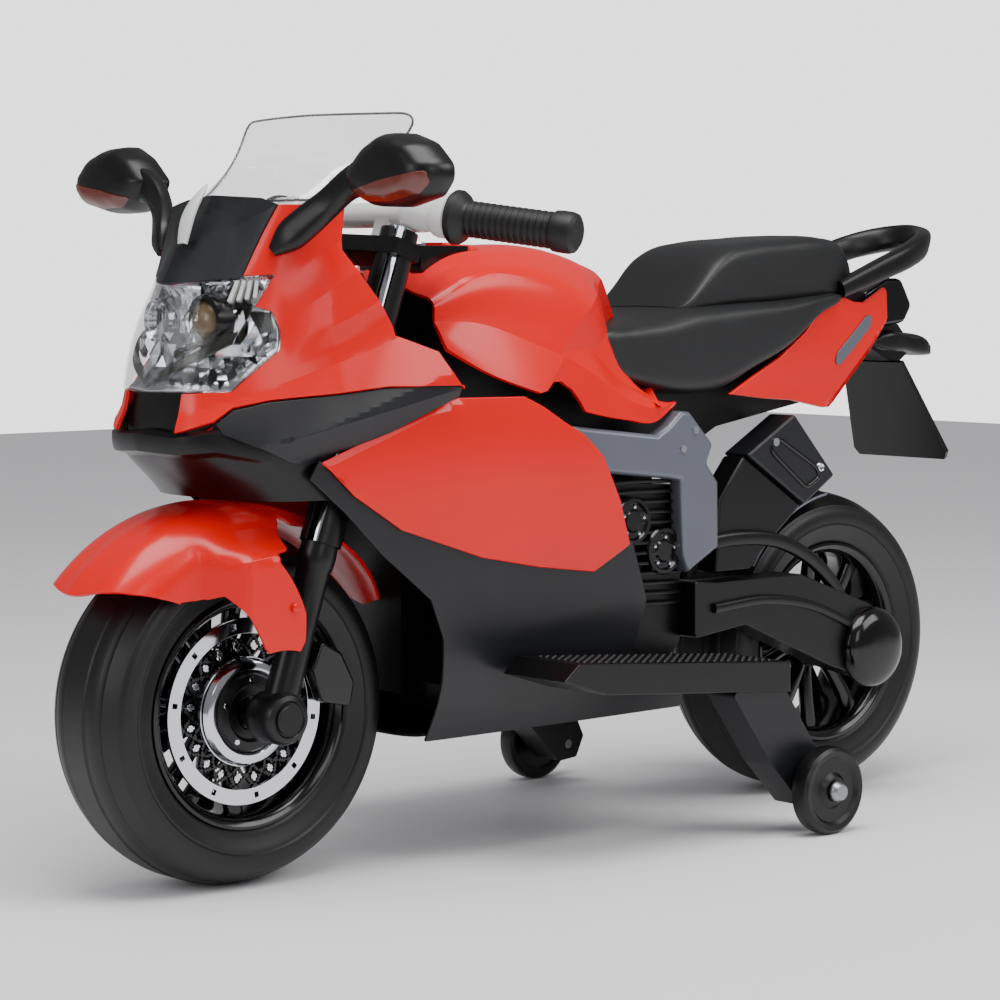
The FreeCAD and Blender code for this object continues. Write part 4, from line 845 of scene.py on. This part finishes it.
def engine():
    """Dummy engine detail in each window: a ribbed block, a round cover and small bright screws."""
    cover = [(0.01, 88), (9, 88), (11, 86), (16, 86), (18, 88.5), (21, 88.5), (22.5, 86.5), (22.5, 78.2),
             (0.01, 78.2)]
    screw = [(0.01, 88.8), (1.7, 88.4), (1.9, 85), (0.01, 85)]
    for (side, label), where in zip(SIDES, ([(-34, 292), (-74, 262)], [(-70, 300)])):
        levels = [level for level in np.arange(212, 332, 9.5) if side > 0 or level < 262 or level > 312]
        ribs = [bar([(-100, 80 * side, level), (-40, 84 * side, level + 2), (14, 82 * side, level + 1)],
                    oval(3.4, 2.0, 12, 3), count=12) for level in levels]
        mesh_piece("engine_ribs_" + label, ribs, BLACK, 40)
        covers = [ring(np.multiply(cover, (1, side)), (x, 0, z), 40) for x, z in where]
        mesh_piece("engine_covers_" + label, covers, GLOSS, 34)
        screws = [part for x, z in where for part in round_of(np.multiply(screw, (1, side)), (x, 0, z), 13.4, 5, 0.4)]
        mesh_piece("engine_screws_" + label, screws, CHROME, 40)


# ---------------- tail


def tail_skin(x, z, lift):
    """The tail's flank: half width narrows backwards in a straight line, with a low swell along its middle."""
    return np.stack([x, 83 + 0.1441 * (x + 169) + 3.0 * np.exp(-((z - 455) / 45.0) ** 2) + lift, z], -1)


def tail():
    """Red tail panels with a folded lower edge and a stripe, the lamp block, mud flap, its shelf and grab bar."""
    outline = [(-163, 405), (-200, 421), (-242, 438), (-285, 462), (-312, 484), (-330, 496), (-344, 498),
               (-370, 491), (-388, 490), (-404, 496), (-426, 505), (-430, 500), (-430, 474), (-424, 460),
               (-410, 440), (-350, 391), (-338, 386), (-318, 387), (-264, 396), (-220, 399)]
    crease = [(-330, 396), (-342, 402), (-404, 452), (-418, 472), (-420, 492)]
    x, z, faces = fill(outline, 5.0, [crease])
    points = tail_skin(x, z, -fold(-x, z, (404, 452), (342, 402), 0.75, 20))
    sheet("tail_panel_skins", [(points, faces)], 4, RED, bevel=1.2, angle=12, node="tail_panels")
    stripe = [(-336, 430), (-344, 428), (-398, 466), (-400, 476), (-392, 478), (-338, 440)]
    x, z, faces = fill(smooth_loop(stripe, 60, 2), 4.0)
    sheet("tail_stripes", [(tail_skin(x, z, 1.3), faces)], 1.2, SILVER, bevel=0.4)
    refined("tail_lamp", GLOSS, 5, BODY, "tail_lamp_housing")
    mesh_piece("tail_lamp_lens", [ball((-468, 0, 492), (13.5, 30, 13), 7.0, 60, 24)], RED_GLASS, 40)
    refined("mud_flap", BLACK, 1.6)
    shelf = loaf([(-424, 34, 446, 452), (-434, 40, 441, 458), (-470, 42, 438, 458), (-500, 42, 434, 452),
                  (-509, 38, 434, 446)], 6.0)
    mesh_piece("mud_flap_shelf", [shelf], BLACK, 40)
    rail = [(-346, 57, 503), (-400, 58, 521), (-450, 56, 537), (-484, 44, 548), (-504, 24, 554), (-511, 0, 556)]
    sizes = [(7.5, 9), (8, 11), (8.5, 12.5), (9, 13), (9.5, 13), (10, 13)]
    sections = [oval(a, b, 24, 3.0) for a, b in sizes + sizes[-2::-1]]
    mesh_piece("grab_bar", [bar(both_halves(rail, 1), sections, (-0.3, 0, 0.95), 90)], BLACK, 40, node="grab_rail")


# ---------------- rear and lower parts


def rear():
    """Frame trims, swingarms with ridges and stays, a domed hub cover, the silencer and a tyre hugger."""
    refined("frame_trims", SILVER, 2.6)
    refined("swingarm_left", BLACK, 4)
    refined("swingarm_right", BLACK, 4)
    ridge_line = [(-128, 99.5, 205), (-200, 100, 208), (-262, 99.5, 198), (-330, 99, 170), (-366, 98, 152)]
    stay = [(-112, 84, 262), (-160, 90, 268), (-224, 92, 262), (-280, 90, 236), (-322, 86, 196), (-338, 84, 168)]
    bars = [bar(np.multiply(path, (1, side, 1)), section, count=count) for side, _ in SIDES
            for path, section, count in ((ridge_line, oval(3.4, 4.5, 16, 3), 40), (stay, oval(5, 7, 20, 3), 50))]
    mesh_piece("swingarm_stays", bars, BLACK, 40)
    cover = [(0.01, 117), (14, 116.6), (26, 114.6), (34, 111), (38.6, 106), (40, 100), (40, 98.2), (0.01, 98.2)]
    mesh_piece("hub_cover_dome", [ring(cover, REAR_AXLE, 64)], GLOSS, 30, node="hub_cover")
    refined("silencer", BLACK, 3)
    refined("silencer_cap", DARK, 3, BODY)
    slot = smooth_loop([(-222, 362), (-212, 350), (-262, 312), (-282, 322), (-276, 332)], 60, 3)
    loop = np.insert(slot, 1, 92.4, axis=1)
    rim = tube(swept(np.vstack([loop, loop[:2]]), oval(2.2, 1.6, 12), (0, 1, 0)))
    mesh_piece("silencer_slot_rim", [rim], GLOSS, 40)
    outlet = [(0.01, 92.6), (3.4, 94.4), (4.6, 93.4), (5, 92), (0.01, 92)]
    mesh_piece("silencer_outlet", [ring(outlet, (-282, 0, 331), 20)], CHROME, 40)
    turn, across = np.radians(np.linspace(34, 82, 40))[:, None], np.linspace(-1, 1, 26)[None]
    radius = 158 - 6 * np.abs(across) ** 5
    face = REAR_AXLE + np.stack([radius * np.cos(turn), 58 * across + 0 * turn, radius * np.sin(turn)], -1)
    sheet("tyre_hugger", [(face, quads(40, 26))], 2.6, BLACK, (1, 0, 1), False)
    # Thin silver bars along the hugger's two edges: a painted highlight along its rim.
    edges = [bar(face[::3, column], oval(1.3, 1.3, 10), (0, 1, 0), 40) for column in (0, -1)]
    mesh_piece("tyre_hugger_highlight_edges", edges, SILVER, 40)


def running_gear():
    """Studded footboards, stabiliser wheels, arms and bolts, the pedal, the caliper and the control panel."""
    stud = [(0.01, 1.3), (1.6, 1.2), (2.6, -0.4), (0.01, -0.4)]
    climb, board_end, board_top = 21 / 266, -137, 163
    half = [(5.2, -10), (13, -10), (17, -6.5), (29, -6.5), (32, -9.4), (37, -10), (40.2, -7.6), (41, -4)]
    for side, label in SIDES:
        refined("footboard_" + label, BLACK, 3)
        places = [(x, y) for x in np.arange(-122, 118, 9.0) for y in np.arange(120, 184, 8.0)
                  if side > 0 or x < 0 or not 128 < y < 180]      # the right board has the pedal
        studs = [ring(stud, (x, y * side, board_top + (x - board_end) * climb), 8, "z") for x, y in places]
        mesh_piece("footboard_studs_" + label, studs, BLACK, 50)
        mesh_piece("stabiliser_wheel_moulding_" + label, [ring(both_halves(half, 1), (-174, 203 * side, 41), 72)],
                   BLACK, 30, label + "_stabiliser", "stabiliser_wheel_" + label)
    refined("stabiliser_arms", DARK, 3.5)
    refined("accelerator_pedal", DARK, 1.6, "pedal")
    refined("brake_caliper", GLOSS, 3, STEER)
    refined("control_panel", GLOSS, 1.5)
    refined("stabiliser_bolts", STEEL, 0.8)


# ---------------- materials


def colour(hex_code):
    """An sRGB hex code as linear red, green, blue and alpha."""
    parts = [int(hex_code[k:k + 2], 16) / 255 for k in (1, 3, 5)]
    return [c / 12.92 if c <= 0.04045 else ((c + 0.055) / 1.055) ** 2.4 for c in parts] + [1.0]


def tune(node, settings=None, links=None):
    """Set a node's properties or inputs, and join other nodes' sockets to its inputs."""
    for key, value in (settings or {}).items():
        if isinstance(key, str) and hasattr(node, key):
            setattr(node, key, value)
        else:
            node.inputs[key].default_value = value
    for key, socket in (links or {}).items():
        node.id_data.links.new(socket, node.inputs[key])
    return node


def add(tree, kind, settings=None, links=None):
    """Add one node with its settings and links."""
    return tune(tree.nodes.new(kind), settings, links)


def blank(name):
    """A new material, its node tree, its shader, and the object's own coordinates in metres."""
    finish = bpy.data.materials.new(name)
    finish.use_nodes = True
    tree = finish.node_tree
    return finish, tree, tree.nodes["Principled BSDF"], add(tree, "ShaderNodeTexCoord").outputs["Object"]


def moulded(name, hex_code, second_hex, roughness, grain_mm, grain_depth, uneven=0.06, ior=1.5, coat=0.0,
            metallic=0.0):
    """A moulded or painted skin: two close shades in broad patches, a fine grain in the bump, uneven gloss."""
    finish, tree, shader, place = blank(name)
    broad = add(tree, "ShaderNodeTexNoise", {"Scale": 9.0, "Detail": 3.0}, {"Vector": place})
    shade = add(tree, "ShaderNodeMix", {"data_type": "RGBA", 6: colour(hex_code), 7: colour(second_hex)},
                {"Factor": broad.outputs["Fac"]})     # 6 and 7 are its two colour sockets, and 2 its colour out
    smear = add(tree, "ShaderNodeTexNoise", {"Scale": 28.0, "Detail": 4.0}, {"Vector": place})
    gloss = add(tree, "ShaderNodeMapRange", {"To Min": roughness - uneven / 2, "To Max": roughness + uneven / 2},
                {"Value": smear.outputs["Fac"]})
    grain = add(tree, "ShaderNodeTexNoise", {"Scale": 1.0 / (grain_mm * MM), "Detail": 2.0}, {"Vector": place})
    bump = add(tree, "ShaderNodeBump", {"Strength": 1.0, "Distance": grain_depth * MM},
               {"Height": grain.outputs["Fac"]})
    tune(shader, {"IOR": ior, "Coat Weight": coat, "Metallic": metallic},
         {"Base Color": shade.outputs[2], "Roughness": gloss.outputs["Result"], "Normal": bump.outputs["Normal"]})
    return finish


def clear_sheet(name, tint, roughness, alpha):
    """Clear polycarbonate seen as a thin sheet: mostly see-through, with surface reflections."""
    finish, tree, shader, place = blank(name)
    ripple = add(tree, "ShaderNodeTexNoise", {"Scale": 60.0}, {"Vector": place})
    gloss = add(tree, "ShaderNodeMapRange", {"To Min": roughness, "To Max": roughness + 0.03},
                {"Value": ripple.outputs["Fac"]})
    tune(shader, {"Base Color": colour(tint), "Transmission Weight": 1.0, "IOR": 1.45, "Alpha": alpha},
         {"Roughness": gloss.outputs["Result"]})
    return finish


def tinted_lens(name, tint, roughness, through=0.25):
    """Coloured acrylic over a bright back: deep colour, wet shine, faint moulded ribs."""
    finish, tree, shader, place = blank(name)
    ribs = add(tree, "ShaderNodeTexWave", {"Scale": 40.0, "Distortion": 0.4}, {"Vector": place})
    bump = add(tree, "ShaderNodeBump", {"Strength": 0.5, "Distance": 0.4 * MM}, {"Height": ribs.outputs["Fac"]})
    tune(shader, {"Base Color": colour(tint), "Roughness": roughness, "IOR": 1.49,
                  "Transmission Weight": through, "Coat Weight": 0.5}, {"Normal": bump.outputs["Normal"]})
    return finish


# Red gloss ABS, injection moulded: a wet shine with the faint ripple of a cooled skin.
RED = moulded("red_gloss_abs", "#D80000", "#CC0000", 0.24, 7.0, 0.02, 0.05, 1.42, 0.06)
# Charcoal polypropylene with a spark-eroded texture: a soft, slightly blue sheen.
DARK = moulded("dark_satin_pp", "#131417", "#0F1012", 0.38, 1.1, 0.05, 0.08, 1.45)
# Black polypropylene mouldings: low sheen and a small grain.
BLACK = moulded("black_satin_pp", "#060607", "#040405", 0.34, 1.2, 0.04, 0.1, 1.42)
# Black gloss ABS: near-mirror highlights on a deep black.
GLOSS = moulded("black_gloss_abs", "#050506", "#030304", 0.16, 6.0, 0.012, 0.05, 1.45, 0.1)
# Grey-silver metallic paint on plastic: fine flake under a satin lacquer.
SILVER = moulded("silver_paint", "#6B6E78", "#60636D", 0.36, 0.9, 0.02, 0.08, metallic=0.45)
# White enamel on the steel bar: smooth, slightly yellow, clean highlights.
WHITE = moulded("white_enamel", "#D9D9D6", "#CFCFCC", 0.28, 4.0, 0.01, 0.06)
# Blow-moulded polyethylene tyre: dull black, a little waxy, with a soft overall pebble.
TYRE = moulded("tyre_polyethylene", "#0C0C0D", "#080809", 0.44, 1.6, 0.06, 0.12, 1.45)
# Vacuum-plated chrome: a mirror with faint waviness from the plastic beneath.
CHROME = moulded("vacuum_chrome", "#D4D6DA", "#C9CCD1", 0.1, 8.0, 0.02, 0.05, metallic=1.0)
# Zinc-plated steel fastenings and shafts: a dull grey-white metal with soft highlights.
STEEL = moulded("zinc_plated_steel", "#9EA1A4", "#8C8F92", 0.36, 2.0, 0.02, 0.1, metallic=1.0)
# Matt black seat moulding with a leather-like grain: dull, broad highlights.
SEAT = moulded("seat_grained_pvc", "#131415", "#0F1011", 0.46, 1.8, 0.12, 0.1, 1.48)
# Soft black rubber: very dull, fine mould grain.
RUBBER = moulded("grip_rubber", "#070708", "#050506", 0.5, 0.9, 0.05, 0.1, 1.45)
# Polycarbonate: polished and clear for the lens and screen, blasted white for the tab; the grey on the screen's cut
# edge is painted shade.
CLEAR = clear_sheet("clear_polycarbonate", "#F4F7F8", 0.02, 0.22)
EDGE_SHADE = clear_sheet("polycarbonate_painted_edge_shade", "#5E6468", 0.1, 0.8)
FROSTED = moulded("frosted_polycarbonate", "#C9CDC9", "#B9BDB9", 0.22, 3.0, 0.02, 0.06)
# Tinted styrene and acrylic lenses: deep colour with a wet shine.
AMBER = tinted_lens("amber_styrene", "#5A1A06", 0.26, 0.0)
OLIVE = tinted_lens("smoked_olive_projector", "#6E5B3C", 0.12)
OLIVE_DARK = tinted_lens("dark_olive_brow", "#1A1C14", 0.25, 0.0)
RED_GLASS = tinted_lens("red_acrylic", "#A00A06", 0.12)

# The finishes of each record slot. CAD nodes take the first.
SLOTS = {"rim_plastic": (GLOSS,), "gear_nylon": (WHITE,), "battery_case": (DARK,),
         "red_lens": (RED, AMBER, RED_GLASS), "red_plastic": (RED,), "dark_plastic": (DARK, OLIVE_DARK),
         "black_plastic": (BLACK,), "gloss_black": (GLOSS,), "silver_plastic": (SILVER, WHITE),
         "tyre_plastic": (TYRE,), "chrome": (CHROME,), "steel": (STEEL,),
         "clear": (CLEAR, EDGE_SHADE, FROSTED, OLIVE), "seat_plastic": (SEAT,), "grip_rubber": (RUBBER,)}


def dress_cad_nodes():
    """Give every CAD node the finish of its slot; the front axle's end is black like the hub it sits in."""
    slots = {item["node"]: item["material_slot"] for item in frame["record"]["subparts"]}
    for name, node in frame["nodes"].items():
        node.data.materials.clear()
        node.data.materials.append(BLACK if name == "front_axle" else SLOTS[slots[name]][0])


# ---------------- stage


def aim(thing, place, ahead):
    """Put a light or camera at a place, looking along ahead with its top up."""
    thing.location = place
    thing.rotation_euler = ahead.to_track_quat("-Z", "Y").to_euler()


def stage():
    """A pale floor, soft panels above, behind, beside and ahead, and a camera ahead and to the left."""
    floor = bpy.data.meshes.new("floor")
    floor.from_pydata([(-6, -6, 0), (6, -6, 0), (6, 6, 0), (-6, 6, 0)], [], [(0, 1, 2, 3)])
    pale, _, shader, _ = blank("pale_floor")
    tune(shader, {"Base Color": colour("#F0EFF1"), "Roughness": 0.45})
    floor.materials.append(pale)
    linked("floor", floor)
    world = bpy.data.worlds.new("studio")
    bpy.context.scene.world = world
    world.use_nodes = True
    tree = world.node_tree
    # The backdrop is bright where it is seen, softer as fill light, and dim in reflections.
    rays = add(tree, "ShaderNodeLightPath").outputs
    fill_light = add(tree, "ShaderNodeMath", {"operation": "MULTIPLY_ADD", 1: -1.75, 2: 2.4},
                     {0: rays["Is Diffuse Ray"]})
    strength = add(tree, "ShaderNodeMath", {"operation": "MULTIPLY_ADD", 1: -2.1},
                   {0: rays["Is Glossy Ray"], 2: fill_light.outputs[0]})
    tune(tree.nodes["Background"], {"Color": colour("#F6F6F9")}, {"Strength": strength.outputs[0]})
    for name, place, target, size, power in (
            ("top", (0.4, 0.5, 2.4), (0, 0, 0.2), (1.8, 1.4), 60),
            ("rear_left", (-1.1, 1.9, 1.9), (0, 0, 0.4), (1.8, 1.2), 34),
            ("left", (1.0, 2.8, 1.5), (0, 0, 0.3), (1.0, 1.4), 12),
            ("front", (2.8, 0.0, 1.3), (0.2, 0, 0.3), (0.8, 1.4), 14)):
        panel = bpy.data.lights.new(name, "AREA")
        panel.shape = "RECTANGLE"
        panel.size, panel.size_y = size
        panel.energy = power
        aim(linked(name, panel), place, Vector(target) - Vector(place))
    lens = bpy.data.cameras.new("camera")
    lens.sensor_width = 36.0
    lens.lens = 106.45
    camera = linked("camera", lens)
    yaw, pitch = math.radians(41.5), math.radians(4.5)
    aim(camera, (1.855, 2.037, 0.525),
        Vector((-math.sin(yaw) * math.cos(pitch), -math.cos(yaw) * math.cos(pitch), -math.sin(pitch))))
    bpy.context.scene.camera = camera


for make in (dress_cad_nodes, wheels, fender, fork, handlebar, nose, cowl, lamp, chin, trims, screen, mirrors, tank,
             seat, flanks, engine, tail, rear, running_gear, stage):
    make()
